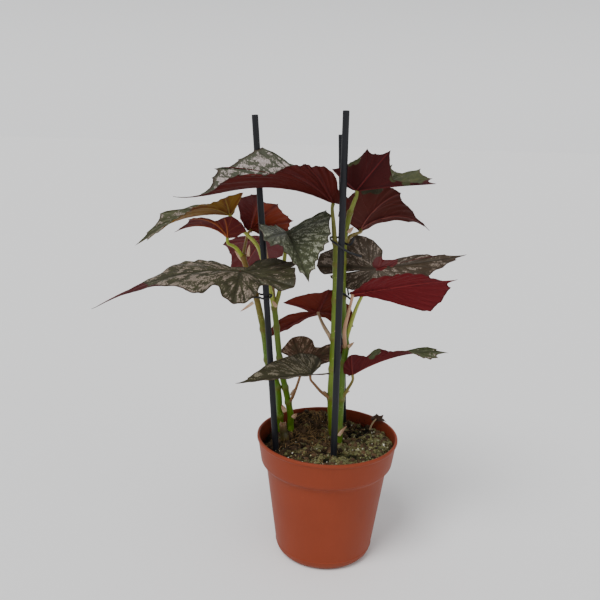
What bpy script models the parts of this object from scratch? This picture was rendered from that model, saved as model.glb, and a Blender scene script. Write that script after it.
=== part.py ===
"""A begonia with cut, keeled leaves on four canes, tied to three stakes in a plain plastic nursery pot.

Units: the drawing is in millimetres and is multiplied by MM on its way into the meshes, which are in metres.
Frame: the origin is the centre of the pot's base, +Z is up, and the plant's best side faces -Y.
"""

import math
from collections import namedtuple

import bmesh
import bpy
import numpy as np

MM = 0.001
GAP = 0.3  # clearance between solids that touch in the real plant

# The pot: a 14 cm nursery pot with a stepped rim band
POT_SIDES = 40
RIM_RADIUS = 70.0
RIM_HEIGHT = 124.0
BAND_LOWER_RADIUS = 65.6
BAND_LOWER_HEIGHT = 98.0
BODY_TOP_RADIUS = 60.4
BODY_TOP_HEIGHT = 93.0
SEAM_RADIUS = 49.0
SEAM_HEIGHT = 9.5
FOOT_RADIUS = 43.5
WALL = 1.6
FLOOR = 2.4
LIP = 2.6
DRAIN_HOLES = 6
DRAIN_HOLE_RADIUS = 4.0
DRAIN_HOLE_CIRCLE = 30.0

# The soil, a little higher in front and on the right
SOIL_LEVEL = 113.0
SOIL_FRONT_RISE = 3.0
SOIL_RIGHT_RISE = 2.5
MOUND = (-18.0, 54.0, 20.0, 13.0, 14.0)  # the heap by the back rim: middle, half width and depth, height
SOIL_RINGS = 7
SOIL_EDGE = 0.95  # where the soil meets the wall, as a share of the rim's radius
CANE_DEPTH = 34.0  # how far stems stand in the soil
STAKE_DEPTH = 18.0
FOOT_LEAN = 0.12  # share by which a cane's foot is drawn in to the middle of the pot

# Stakes, canes and ties
STAKE_RADIUS = 3.0
STAKE_SIDES = 10
CANE_SIDES = 8
STALK_SIDES = 6
TIE_RADIUS = 0.9

# Leaf blades
BLADE = 0.7  # thickness
EDGE_CUT = 0.06  # how far each edge is drawn in between two teeth
PLEAT = 0.012  # rise between two veins, as a share of the leaf's length
PLEAT_WIDTH = 0.07  # distance from a vein at which that rise is whole
MIDRIB_ROUND = 0.02  # half width over which the keel along the midrib is rounded
HOOK_GAIN = 12.2  # makes the largest rise of a hooked tip the leaf's own hook value
RING_SHARES = (0.16, 0.58, 1.0)
STALK_SEAT = 0.75  # distance from a blade's middle surface to the end of its stalk

Leaf = namedtuple("Leaf", "name seat tip roll arch fold curl twist late hook soft left right")


def leaf(
    name, seat, tip, left, right, roll=0, arch=10, fold=(0, 0), curl=(0, 0), twist=0, late=0, hook=0.0,
    soft=0.0,
):
    """seat and tip in mm, angles in degrees, and each half's teeth as (along, across) in leaf lengths.

    late is the share of the twist that comes near the tip, and hook lifts or lowers the midrib there.
    soft is how far the edge is a smooth curve through its teeth instead of straight cuts between them.
    """
    return Leaf(name, seat, tip, roll, arch, fold, curl, twist, late, hook, soft, left, right)


SLIM_HALF = (
    (0.84, 0.06), (0.66, 0.15), (0.46, 0.22), (0.22, 0.25), (0.0, 0.27), (-0.15, 0.19), (-0.18, 0.06))

LEAVES = (
    leaf(
        "leaf_top_left", (-3, -7, 354), (-135, -72, 360), arch=42, fold=(32, 45), hook=-0.04, soft=0.5,
        left=((0.85, 0.015), (0.79, 0.05), (0.75, 0.125), (0.70, 0.175), (0.66, 0.187), (0.59, 0.168),
              (0.52, 0.155), (0.47, 0.17), (0.45, 0.22), (0.41, 0.26), (0.36, 0.265), (0.34, 0.295),
              (0.30, 0.275), (0.26, 0.29), (0.21, 0.285), (0.12, 0.22), (0.06, 0.14), (-0.03, 0.11),
              (-0.08, 0.07)),
        right=((0.83, 0.02), (0.74, 0.12), (0.71, 0.18), (0.65, 0.17), (0.57, 0.22), (0.47, 0.29),
               (0.42, 0.32), (0.30, 0.235), (0.22, 0.20), (0.08, 0.16), (-0.04, 0.12), (-0.08, 0.04)),
    ),
    leaf(
        "leaf_top_right", (18, -5, 366), (81, -60, 377), arch=5, fold=(35, 80),
        left=((0.90, 0.10), (0.67, 0.28), (0.50, 0.23), (0.36, 0.28), (0.22, 0.44), (0.02, 0.34),
              (-0.22, 0.42), (-0.32, 0.30), (-0.18, 0.08)),
        right=((0.80, 0.03), (0.50, 0.08), (0.53, 0.38), (0.34, 0.37), (0.25, 0.43), (-0.01, 0.32),
               (-0.28, 0.28), (-0.15, 0.08)),
    ),
    leaf(
        "leaf_right_red", (24, 30, 326), (87, 5, 330), roll=40, arch=100, fold=(-5, 5), soft=0.4,
        left=((0.88, 0.04), (0.63, 0.10), (0.35, 0.10), (0.10, 0.09), (-0.04, 0.06)),
        right=((0.90, 0.03), (0.79, 0.04), (0.74, 0.15), (0.65, 0.24), (0.62, 0.32), (0.64, 0.45),
               (0.56, 0.52), (0.45, 0.56), (0.20, 0.60), (0.02, 0.56), (-0.11, 0.52), (-0.18, 0.40),
               (-0.13, 0.27), (-0.07, 0.13)),
    ),
    leaf(
        "leaf_right_middle", (39, 5, 292), (119, -20, 312), roll=-62, arch=-10, twist=-40, soft=0.6,
        left=((0.76, 0.08), (0.66, 0.07), (0.57, 0.11), (0.37, 0.10), (0.22, 0.08), (0.09, 0.10),
              (0.09, 0.21), (0.0, 0.33), (-0.08, 0.38), (-0.19, 0.41), (-0.34, 0.32), (-0.60, 0.25),
              (-0.67, 0.12), (-0.58, 0.01)),
        right=((0.90, 0.06), (0.76, 0.14), (0.62, 0.21), (0.48, 0.24), (0.31, 0.20), (0.04, 0.17),
               (-0.16, 0.20), (-0.28, 0.21), (-0.40, 0.15), (-0.52, 0.01)),
    ),
    leaf(
        "leaf_right_lower", (18.5, -12, 270.5), (105, -60, 297), roll=38, arch=5, fold=(-20, -8), soft=1,
        left=((0.91, 0.09), (0.83, 0.17), (0.77, 0.24), (0.71, 0.275), (0.64, 0.33), (0.57, 0.315),
              (0.47, 0.262), (0.40, 0.225), (0.27, 0.153), (0.17, 0.098), (0.08, 0.06), (-0.02, 0.045)),
        right=((0.87, 0.015), (0.80, 0.085), (0.79, 0.13), (0.70, 0.185), (0.59, 0.21), (0.50, 0.195),
               (0.37, 0.215), (0.26, 0.19), (0.12, 0.10), (0.03, 0.05), (-0.03, 0.02)),
    ),
    leaf(
        "leaf_left_middle", (-80, -60, 297), (-195, -105, 269), roll=8, arch=40, curl=(-90, 0), soft=1,
        left=((0.71, 0.05), (0.53, 0.12), (0.39, 0.25), (0.32, 0.27), (0.22, 0.21), (0.20, 0.31),
              (0.14, 0.37), (0.06, 0.37), (-0.02, 0.31), (-0.10, 0.19), (-0.20, 0.26), (-0.30, 0.23),
              (-0.35, 0.10), (-0.35, 0.004)),
        right=((0.71, 0.03), (0.53, 0.08), (0.38, 0.20), (0.29, 0.20), (0.20, 0.20), (0.12, 0.13),
               (0.05, 0.07), (-0.08, 0.10), (-0.23, 0.24), (-0.38, 0.16), (-0.37, 0.004)),
    ),
    leaf(
        "leaf_left_lower", (-18, -28, 195), (-82, -75, 200), roll=22, arch=5, fold=(38, 0), soft=0.9,
        left=SLIM_HALF,
        right=((0.82, 0.06), (0.63, 0.15), (0.41, 0.26), (0.30, 0.29), (0.05, 0.36), (-0.15, 0.38),
               (-0.30, 0.28), (-0.22, 0.12)),
    ),
    leaf(
        "leaf_middle_lower", (-27, 5, 196), (19, 22, 205), roll=-25, arch=20, fold=(20, 0), soft=0.8,
        left=((0.94, 0.09), (0.82, 0.15), (0.62, 0.21), (0.46, 0.18), (0.34, 0.22), (0.34, 0.38),
              (0.22, 0.52), (0.0, 0.57), (-0.18, 0.48), (-0.33, 0.34)),
        right=SLIM_HALF,
    ),
    leaf(
        "leaf_right_narrow", (22, -5, 189), (108, -30, 223), roll=25, arch=36, fold=(20, 40),
        twist=150, late=1, soft=0.7,
        left=((0.90, 0.03), (0.80, 0.05), (0.67, 0.05), (0.55, 0.045), (0.40, 0.05), (0.25, 0.09),
              (0.05, 0.13), (-0.08, 0.08)),
        right=((0.91, 0.06), (0.85, 0.10), (0.79, 0.125), (0.70, 0.115), (0.60, 0.10), (0.50, 0.085),
               (0.45, 0.10), (0.41, 0.14), (0.36, 0.17), (0.29, 0.14), (0.23, 0.12), (0.19, 0.16),
               (0.12, 0.22), (0.06, 0.20), (-0.01, 0.15), (-0.06, 0.07)),
    ),
    leaf(
        "leaf_centre", (-46, 8, 323), (-21, -62, 290), arch=10, fold=(35, 35), soft=0.3,
        left=((0.86, 0.12), (0.74, 0.19), (0.65, 0.29), (0.58, 0.38), (0.47, 0.44), (0.16, 0.55),
              (0.03, 0.53), (0.0, 0.38), (-0.04, 0.18)),
        right=((0.90, 0.10), (0.80, 0.17), (0.67, 0.28), (0.57, 0.29), (0.72, 0.48), (0.67, 0.56),
               (0.47, 0.58), (0.36, 0.56), (0.24, 0.40), (0.11, 0.26), (0.0, 0.18)),
    ),
    leaf(
        "leaf_upper_left", (-98, -8, 340), (-176, -45, 314), arch=50, fold=(50, 20), twist=-60, soft=0.6,
        left=((0.89, 0.09), (0.77, 0.17), (0.66, 0.17), (0.56, 0.15), (0.49, 0.19), (0.46, 0.28),
              (0.39, 0.31), (0.29, 0.235), (0.25, 0.22), (0.18, 0.23), (0.12, 0.27), (0.04, 0.29),
              (-0.05, 0.31), (-0.03, 0.15), (-0.03, 0.05)),
        right=((0.85, 0.03), (0.72, 0.06), (0.65, 0.13), (0.55, 0.115), (0.45, 0.10), (0.25, 0.14),
               (0.05, 0.15), (-0.08, 0.10)),
    ),
    leaf(
        "leaf_left_red", (-99, -15, 320), (-137, -62, 329), arch=60, fold=(40, 20), soft=0.3,
        left=((0.96, 0.03), (0.90, 0.06), (0.85, 0.12), (0.88, 0.25), (0.78, 0.24), (0.64, 0.22),
              (0.52, 0.18), (0.43, 0.155), (0.38, 0.17), (0.35, 0.27), (0.27, 0.34), (0.09, 0.33),
              (-0.08, 0.29), (-0.09, 0.10)),
        right=((0.90, 0.03), (0.75, 0.07), (0.55, 0.055), (0.35, 0.08), (0.15, 0.05), (-0.05, 0.06)),
    ),
    leaf(
        "leaf_back_upper", (-87, 62, 318), (-70, 8, 360), arch=20, soft=0.2,
        left=((0.82, 0.04), (0.67, 0.10), (0.63, 0.29), (0.45, 0.38), (0.31, 0.50), (0.19, 0.60),
              (0.05, 0.58), (-0.06, 0.60), (-0.12, 0.47), (-0.13, 0.14)),
        right=((0.92, 0.13), (0.80, 0.27), (0.71, 0.32), (0.48, 0.24), (0.24, 0.19), (0.04, 0.10),
               (-0.03, 0.05)),
    ),
    leaf(
        "leaf_back_lower", (-73, 54, 310), (-108, 110, 241), arch=30, soft=0.5,
        left=((0.90, 0.06), (0.77, 0.15), (0.50, 0.20), (0.33, 0.27), (0.12, 0.42), (0.02, 0.38),
              (-0.08, 0.20)),
        right=((0.85, 0.10), (0.65, 0.30), (0.45, 0.42), (0.25, 0.38), (0.10, 0.28), (-0.10, 0.15)),
    ),
    leaf(
        "leaf_middle_red", (-14, 16, 245), (-70, 34, 207), roll=-30, arch=10, fold=(10, 0),
        curl=(0, -150), soft=0.4,
        left=((0.75, 0.14), (0.50, 0.22), (0.29, 0.19), (0.10, 0.09), (0.22, 0.52), (-0.15, 0.45),
              (-0.30, 0.36), (-0.42, 0.36), (-0.46, 0.20), (-0.32, 0.006)),
        right=((0.80, 0.05), (0.60, 0.09), (0.40, 0.09), (0.12, 0.08), (0.04, 0.17), (-0.03, 0.31),
               (-0.13, 0.47), (-0.22, 0.52), (-0.30, 0.49), (-0.34, 0.41), (-0.385, 0.30), (-0.43, 0.21),
               (-0.38, 0.10), (-0.32, 0.006)),
    ),
)

# Stakes as (foot at soil level, top)
STAKES = {
    "stake_left": ((-50, -16), (-77, 0, 430)),
    "stake_front": ((7, -36), (5, -22, 435)),
    "stake_back": ((17, 50), (2, 30, 415)),
}

# Each cane as its own route of (x, y, z, radius), then its stalks: the leaf that each carries, and its route
Stalk = namedtuple("Stalk", "leaf route end_radius")
CANES = {
    "cane_left": (
        ((-49, 27, 113, 3.4), (-53, 20, 165, 3.4), (-62, 14, 189, 3.3), (-66, 8, 222, 3.2),
         (-74, 2, 262, 3.0), (-83, 0, 289, 2.7), (-87, 0, 301, 2.6)),
        (
            Stalk("leaf_left_red", ((-86.5, 0, 299, 2.2), (-93, -5, 309, 1.7)), 1.4),
            Stalk("leaf_back_upper", ((-86.5, 0, 299, 2.0), (-86, 14, 311, 1.5), (-86, 36, 318, 1.4)), 1.3),
            Stalk("leaf_left_middle", ((-76, 1.5, 269, 2.2), (-77, -26, 280, 1.7)), 1.5),
        ),
    ),
    "cane_middle_left": (
        ((-39, 31, 113, 3.4), (-39, 28, 130, 3.4), (-43, 24, 153, 3.3), (-50, 18, 188, 3.1),
         (-55, 11, 236, 2.9),
         (-57, 9, 251, 2.7)),
        (
            Stalk("leaf_centre", ((-56.5, 9.5, 248, 2.5), (-52, 9, 265, 2.1), (-48, 12, 296, 1.9)), 1.5),
            Stalk("leaf_upper_left", ((-56.5, 9, 248, 2.4), (-62, 7, 272, 2.1), (-69, 4, 299, 2.0),
                                      (-74, 0, 312, 1.9), (-84, -4, 323, 1.8)), 1.5),
            Stalk("leaf_back_lower", ((-56.5, 9.5, 248, 2.2), (-60, 18, 272, 1.7), (-68, 37, 296, 1.5)), 1.4),
            Stalk("leaf_middle_lower", ((-41, 26, 144, 2.0), (-36, 20, 155, 1.5), (-30, 10, 177, 1.3)), 1.3),
        ),
    ),
    "cane_middle": (
        ((5, 9, 113, 3.4), (2, -6, 160, 3.3), (2, -8, 190, 3.2), (2.5, -8, 232, 3.1), (2, -8, 282, 3.0),
         (0.5, -8, 318, 2.6)),
        (
            Stalk("leaf_top_left", ((0, -8, 316, 2.4), (-2, -5, 334, 2.0)), 1.6),
            Stalk("leaf_left_lower", ((1.5, -7, 164, 2.0), (-7, -15, 173, 1.5), (-14, -24, 184, 1.3)), 1.2),
            Stalk("leaf_middle_red", ((1, -8, 224, 2.2), (-7, 0, 234, 1.8)), 1.4),
        ),
    ),
    "cane_right": (
        ((12, -2, 113, 3.4), (12, 0, 160, 3.4), (12.5, 2, 191, 3.3), (15, 3, 216, 3.1), (12, 3, 232, 3.0),
         (9.5, 2, 271, 2.9), (8.5, 0, 310, 2.8), (9.5, 0, 327, 2.7), (13, -3, 347, 2.5)),
        (
            Stalk("leaf_top_right", ((12.5, -2.5, 344, 2.3), (17, -4, 358, 1.9)), 1.6),
            Stalk("leaf_right_red", ((10.5, 0, 318, 2.3), (15, 10, 322, 1.8)), 1.5),
            Stalk("leaf_right_middle", ((14.5, 3.5, 222, 2.3), (23, 7, 252, 1.8), (32, 12, 272, 1.6)), 1.4),
            Stalk("leaf_right_lower", ((14, 2, 214, 2.2), (12.5, -5, 233, 1.8), (15.5, -9, 252, 1.6)), 1.4),
            Stalk("leaf_right_narrow", ((12.5, 0, 160, 2.1), (18, -2, 172, 1.6)), 1.3),
        ),
    ),
}
STUB = ((-43, 3, 113, 4.0), (-44, 4, 121, 4.0), (-45, 4, 130, 3.4))

# Ties as one strand each, bent by hand round the stems that they hold
TIES = {
    "tie_front": (
        (24, -35.4, 310), (17, -35.2, 312), (11, -33.8, 314), (5.5, -31.7, 317), (0.2, -27.6, 320),
        (-3.5, -18, 321), (-4.4, -8, 322), (-2.5, -3.6, 322), (1.5, -3.4, 322), (4.2, -8, 322), (7, -16, 320),
        (12, -22, 318), (15, -25, 320), (17, -25, 325),
    ),
    "tie_left": (
        (-86, -3, 260), (-80, -3.5, 261), (-74, -3.6, 261.5), (-69.5, -6, 262), (-66.4, -11.6, 262.5),
        (-62.8, -13.2, 263), (-59, -11.7, 264), (-58, -8, 265), (-60, -4.6, 265), (-65, -1, 264),
        (-69.2, 3.2, 263), (-72, 6.6, 263), (-76, 7, 263), (-80, 5, 263),
    ),
    "tie_back": (
        (19, -4, 262), (15, -3.2, 265), (10.3, -2.6, 268), (6.2, -1, 269), (4.8, 4, 269), (4.6, 16, 268),
        (4.6, 30, 267), (4.6, 38, 266), (6, 43.4, 266), (10, 44.6, 266), (13.8, 42, 266), (14.4, 36, 266),
        (14.4, 22, 267), (14.6, 8, 267), (15, 2, 266),
    ),
}

# A dried scrap of leaf on a short stick, standing on the soil by the back rim
SCRAP_FOOT = (44.5, 40.0)
SCRAP_CENTRE = (50.0, 36.0, 127.0)
SCRAP_STICK_RADIUS = 0.9
SCRAP_EDGE = ((-2, -5), (2, -3.2), (6, 0), (12, 3.5), (7.4, 3.4), (8.4, 7.5), (4.2, 4.4), (1, 6.2), (-2, 3),
              (-5, 1.2), (-4.2, -3))

COLOURS = {
    "pot": (0.30, 0.075, 0.035),
    "soil": (0.035, 0.028, 0.018),
    "stake": (0.02, 0.022, 0.026),
    "cane": (0.16, 0.24, 0.035),
    "stub": (0.16, 0.11, 0.05),
    "leaf": (0.10, 0.075, 0.045),
    "tie": (0.012, 0.012, 0.014),
    "scrap": (0.05, 0.025, 0.015),
}


def clear_scene():
    """Take away whatever the start-up scene holds."""
    for item in list(bpy.data.objects):
        bpy.data.objects.remove(item, do_unlink=True)


def material(kind, roughness):
    """A Principled material of one of the plant's colours."""
    finish = bpy.data.materials.get(kind) or bpy.data.materials.new(kind)
    finish.use_nodes = True
    shader = finish.node_tree.nodes["Principled BSDF"]
    shader.inputs["Base Color"].default_value = (*COLOURS[kind], 1.0)
    shader.inputs["Roughness"].default_value = roughness
    shader.inputs["Metallic"].default_value = 0.0
    return finish


def add_object(name, vertices, faces, kind, roughness=0.6, smooth_angle=40.0):
    """A mesh object from points in mm and faces that point outwards."""
    mesh = bpy.data.meshes.new(name)
    mesh.from_pydata([tuple(MM * c for c in v) for v in vertices], [], [tuple(f) for f in faces])
    mesh.validate()
    mesh.materials.append(material(kind, roughness))
    item = bpy.data.objects.new(name, mesh)
    bpy.context.scene.collection.objects.link(item)
    mesh.shade_smooth()
    mesh.set_sharp_from_angle(angle=math.radians(smooth_angle))
    return item


def cut_or_join(target, cutter, operation):
    """Apply an exact Boolean of cutter on target and remove the cutter."""
    step = target.modifiers.new("join", "BOOLEAN")
    step.operation = operation
    step.solver = "EXACT"
    step.object = cutter
    graph = bpy.context.evaluated_depsgraph_get()
    done = bpy.data.meshes.new_from_object(target.evaluated_get(graph))
    target.modifiers.remove(step)
    old = target.data
    target.data = done
    bpy.data.meshes.remove(old)
    bpy.data.objects.remove(cutter, do_unlink=True)


# Turned and swept bodies


def turned(profile, sides):
    """Vertices and faces of a closed profile of (radius, z) corners turned about Z, poles on the axis."""
    vertices = []
    rows = []
    for radius, z in profile:
        if radius == 0.0:
            rows.append([len(vertices)])
            vertices.append((0.0, 0.0, z))
            continue
        rows.append(list(range(len(vertices), len(vertices) + sides)))
        for k in range(sides):
            angle = 2.0 * math.pi * k / sides
            vertices.append((radius * math.cos(angle), radius * math.sin(angle), z))
    faces = []
    for low, high in zip(rows, rows[1:] + rows[:1]):
        if len(low) == 1 and len(high) == 1:
            continue
        for k in range(sides):
            after = (k + 1) % sides
            if len(low) == 1:
                faces.append((low[0], high[after], high[k]))
            elif len(high) == 1:
                faces.append((low[k], low[after], high[0]))
            else:
                faces.append((low[k], low[after], high[after], high[k]))
    return vertices, faces


def smooth_route(points, per_span):
    """A Catmull-Rom curve through hand-set points, each with any number of numbers to a point."""
    knots = np.array(points, float)
    knots = np.vstack((2 * knots[0] - knots[1], knots, 2 * knots[-1] - knots[-2]))
    out = []
    for a, b, c, d in zip(knots[:-3], knots[1:-2], knots[2:-1], knots[3:]):
        for share in np.arange(per_span) / per_span:
            out.append(
                0.5 * (2 * b + (c - a) * share + (2 * a - 5 * b + 4 * c - d) * share**2
                       + (3 * b - a - 3 * c + d) * share**3)
            )
    out.append(knots[-2])
    return np.array(out)


def swept(route, radii, sides):
    """Vertices and faces of a round bar along a route, with flat ends."""
    route = np.array(route, float)
    heading = np.gradient(route, axis=0)
    heading /= np.linalg.norm(heading, axis=1)[:, None]
    across = np.cross(heading[0], (0.3, 0.9, 0.2))
    vertices = []
    for place, way, radius in zip(route, heading, radii):
        across = across - way * (across @ way)
        across = across / np.linalg.norm(across)
        beside = np.cross(way, across)
        for k in range(sides):
            angle = 2.0 * math.pi * k / sides
            vertices.append(place + radius * (math.cos(angle) * across + math.sin(angle) * beside))
    faces = []
    for row in range(len(route) - 1):
        for k in range(sides):
            after = (k + 1) % sides
            low = row * sides
            faces.append((low + k, low + after, low + sides + after, low + sides + k))
    faces.append(tuple(range(sides))[::-1])
    last = (len(route) - 1) * sides
    faces.append(tuple(range(last, last + sides)))
    return vertices, faces


def round_bar(name, foot, top, radius, sides, kind):
    """A straight bar between two points."""
    vertices, faces = swept((foot, top), (radius, radius), sides)
    return add_object(name, vertices, faces, kind, roughness=0.45)


# The pot and its soil


def pot_profile():
    """The pot's wall in section: up the outside, over the lip and down the inside, which follows at WALL."""
    outside = [
        (0.0, 0.0),
        (FOOT_RADIUS, 0.0),
        (FOOT_RADIUS + 3.0, 1.2),
        (SEAM_RADIUS - 0.9, 5.0),
        (SEAM_RADIUS, SEAM_HEIGHT),
        (BODY_TOP_RADIUS, BODY_TOP_HEIGHT),
        (BAND_LOWER_RADIUS, BAND_LOWER_HEIGHT),
        (RIM_RADIUS - 1.0, RIM_HEIGHT - 4.5),
        (RIM_RADIUS, RIM_HEIGHT - 3.0),
        (RIM_RADIUS, RIM_HEIGHT - 1.0),
        (RIM_RADIUS - 0.9, RIM_HEIGHT),
    ]
    inside = [
        (RIM_RADIUS - LIP, RIM_HEIGHT - 0.3),
        (RIM_RADIUS - LIP - 0.4, RIM_HEIGHT - 2.0),
        (BAND_LOWER_RADIUS - WALL, BAND_LOWER_HEIGHT + 1.0),
        (BODY_TOP_RADIUS - WALL, BODY_TOP_HEIGHT + 1.0),
        (SEAM_RADIUS - WALL, SEAM_HEIGHT),
        (SEAM_RADIUS - WALL - 2.0, FLOOR),
        (0.0, FLOOR),
    ]
    return outside + inside


def make_pot():
    """The pot, turned from its section, with drain holes round the middle of its floor."""
    vertices, faces = turned(pot_profile(), POT_SIDES)
    pot = add_object("pot", vertices, faces, "pot", roughness=0.42)
    for k in range(DRAIN_HOLES):
        angle = 2.0 * math.pi * (k + 0.5) / DRAIN_HOLES
        x = DRAIN_HOLE_CIRCLE * math.cos(angle)
        y = DRAIN_HOLE_CIRCLE * math.sin(angle)
        drill = round_bar("drill", (x, y, -5.0), (x, y, FLOOR + 5.0), DRAIN_HOLE_RADIUS, 10, "pot")
        cut_or_join(pot, drill, "DIFFERENCE")


def soil_height(x, y):
    """The soil's top: it rises to the front and right, with low waves and a heap, and dips at the wall."""
    reach = np.hypot(x, y) / RIM_RADIUS
    rise = SOIL_FRONT_RISE * np.clip(-y / RIM_RADIUS, -0.3, 1.0) + SOIL_RIGHT_RISE * x / RIM_RADIUS
    waves = 1.0 * np.sin(0.13 * x + 0.6) * np.cos(0.11 * y) + 0.7 * np.sin(0.21 * x - 0.17 * y + 1.0)
    mound_x, mound_y, width, depth, height = MOUND
    heap = height * np.exp(-(((x - mound_x) / width) ** 2) - ((y - mound_y) / depth) ** 2)
    return SOIL_LEVEL + rise + waves + heap - 2.0 * reach**4


def soil_side():
    """The soil's side in section, from the floor up, GAP inside the pot's wall."""
    return [
        (SEAM_RADIUS - WALL - 2.2 - GAP, FLOOR + GAP),
        (SEAM_RADIUS - WALL - GAP, SEAM_HEIGHT),
        (BODY_TOP_RADIUS - WALL - GAP, BODY_TOP_HEIGHT + 1.0),
        (BAND_LOWER_RADIUS - WALL - GAP - 0.1, BAND_LOWER_HEIGHT + 1.4),
    ]


def wall_reach(z):
    """The soil's radius at a height in the rim band."""
    low = BAND_LOWER_RADIUS - WALL - GAP - 0.1
    high = RIM_RADIUS - LIP - 0.4 - GAP
    return low + (high - low) * (z - BAND_LOWER_HEIGHT - 1.4) / (RIM_HEIGHT - 2.0 - BAND_LOWER_HEIGHT - 1.4)


def make_soil(holes):
    """The soil, a filled turned body with a waved top, drilled for every stem and stake."""
    side = soil_side()
    vertices = [(0.0, 0.0, side[0][1])]
    rows = []
    angles = 2.0 * np.pi * np.arange(POT_SIDES) / POT_SIDES
    for radius, z in side:
        rows.append([len(vertices) + k for k in range(POT_SIDES)])
        vertices += [(radius * math.cos(a), radius * math.sin(a), z) for a in angles]
    for ring in range(SOIL_RINGS, 0, -1):
        share = ring / SOIL_RINGS
        rows.append([len(vertices) + k for k in range(POT_SIDES)])
        for a in angles:
            near_wall = SOIL_EDGE * RIM_RADIUS
            edge = wall_reach(soil_height(near_wall * math.cos(a), near_wall * math.sin(a))) - 0.1
            x = edge * share * math.cos(a)
            y = edge * share * math.sin(a)
            vertices.append((x, y, soil_height(x, y)))
    vertices.append((0.0, 0.0, float(soil_height(0.0, 0.0))))
    top = len(vertices) - 1
    faces = []
    for low, high in zip(rows, rows[1:]):
        for k in range(POT_SIDES):
            after = (k + 1) % POT_SIDES
            faces.append((low[k], low[after], high[after]))
            faces.append((low[k], high[after], high[k]))
    for k in range(POT_SIDES):
        after = (k + 1) % POT_SIDES
        faces.append((0, rows[0][after], rows[0][k]))
        faces.append((rows[-1][k], rows[-1][after], top))
    soil = add_object("soil", vertices, faces, "soil", roughness=0.95)
    for foot, upper, radius, sides in holes:
        drill = round_bar("drill", foot, upper, radius, sides, "soil")
        cut_or_join(soil, drill, "DIFFERENCE")


# Stakes, canes and ties


def along(foot, top, z):
    """The point at a height z on the line through two points."""
    foot = np.array(foot, float)
    top = np.array(top, float)
    return foot + (top - foot) * (z - foot[2]) / (top[2] - foot[2])


def make_stakes():
    """The stakes, and the hole that each needs in the soil."""
    holes = []
    for name, (foot, top) in STAKES.items():
        foot = (*foot, SOIL_LEVEL)
        low = along(foot, top, SOIL_LEVEL - STAKE_DEPTH)
        round_bar(name, low, top, STAKE_RADIUS, STAKE_SIDES, "stake")
        under = along(foot, top, SOIL_LEVEL - STAKE_DEPTH - GAP)
        over = along(foot, top, SOIL_LEVEL + 20.0)
        holes.append((under, over, STAKE_RADIUS + 1.5 * GAP, STAKE_SIDES))
    return holes


def foot_line(route, spare=0.0):
    """A cane's straight foot: its lower end, drawn in to the middle, and the point just above the soil."""
    x, y, z, radius = route[0]
    above = np.array((x, y, z + 5.0))
    below = np.array((x * (1 - FOOT_LEAN), y * (1 - FOOT_LEAN), z - CANE_DEPTH))
    way = (above - below) / np.linalg.norm(above - below)
    return below - spare * way, above, radius


def rooted(route, per_span):
    """The smoothed points of a cane, with its straight foot first."""
    below, above, radius = foot_line(route)
    path = smooth_route(((*above, radius),) + route[1:], per_span)
    return np.vstack(((*below, radius), path))


def stalk_route(stalk, seats):
    """The stalk's route, brought square to the underside of the leaf that it carries."""
    seat, normal = seats[stalk.leaf]
    near = seat - normal * 7.0
    end = seat - normal * STALK_SEAT
    tip = (*(seat - normal * 3.0), stalk.end_radius)
    return stalk.route + ((*near, stalk.end_radius), tip, (*end, stalk.end_radius * 0.85))


def make_canes(seats):
    """Each cane with its leaf stalks in one body, and the hole that its foot needs."""
    holes = []
    for name, (route, stalks) in CANES.items():
        path = rooted(route, 3)
        vertices, faces = swept(path[:, :3], path[:, 3], CANE_SIDES)
        cane = add_object(name, vertices, faces, "cane", roughness=0.4)
        for stalk in stalks:
            path = smooth_route(stalk_route(stalk, seats), 2)
            vertices, faces = swept(path[:, :3], path[:, 3], STALK_SIDES)
            branch = add_object("stalk", vertices, faces, "cane", roughness=0.4)
            cut_or_join(cane, branch, "UNION")
        holes.append(foot_hole(route))
    path = rooted(STUB, 2)
    vertices, faces = swept(path[:, :3], path[:, 3], CANE_SIDES)
    add_object("cane_stub", vertices, faces, "stub", roughness=0.7)
    holes.append(foot_hole(STUB))
    return holes


def foot_hole(route):
    """The drilled hole for a cane's straight foot."""
    below, above, radius = foot_line(route, GAP)
    return below, above + (above - below) * 0.4, radius + 1.5 * GAP, CANE_SIDES


def make_ties():
    """The soft black ties."""
    for name, route in TIES.items():
        path = smooth_route(route, 2)
        vertices, faces = swept(path, [TIE_RADIUS] * len(path), 6)
        add_object(name, vertices, faces, "tie", roughness=0.5)


# Leaf blades


def bend(length, start, rate):
    """How far along and up a walk gets that starts at an angle and turns steadily, and its last angle."""
    rate = np.where(np.abs(rate) < 1e-6, 1e-6, rate)
    angle = start + rate * length
    return (np.sin(angle) - np.sin(start)) / rate, (np.cos(start) - np.cos(angle)) / rate, angle


def blade_axes(blade):
    """Seat, forward, left and upward directions and the straight length from the leaf's seat to its tip."""
    seat = np.array(blade.seat, float)
    forward = np.array(blade.tip, float) - seat
    chord = np.linalg.norm(forward)
    forward = forward / chord
    level = np.array((0.0, 0.0, 1.0)) - forward * forward[2]
    level = level / np.linalg.norm(level)
    side = np.cross(level, forward)
    roll = math.radians(blade.roll)
    upward = level * math.cos(roll) + side * math.sin(roll)
    left = side * math.cos(roll) - level * math.sin(roll)
    return seat, forward, left, upward, chord


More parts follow.
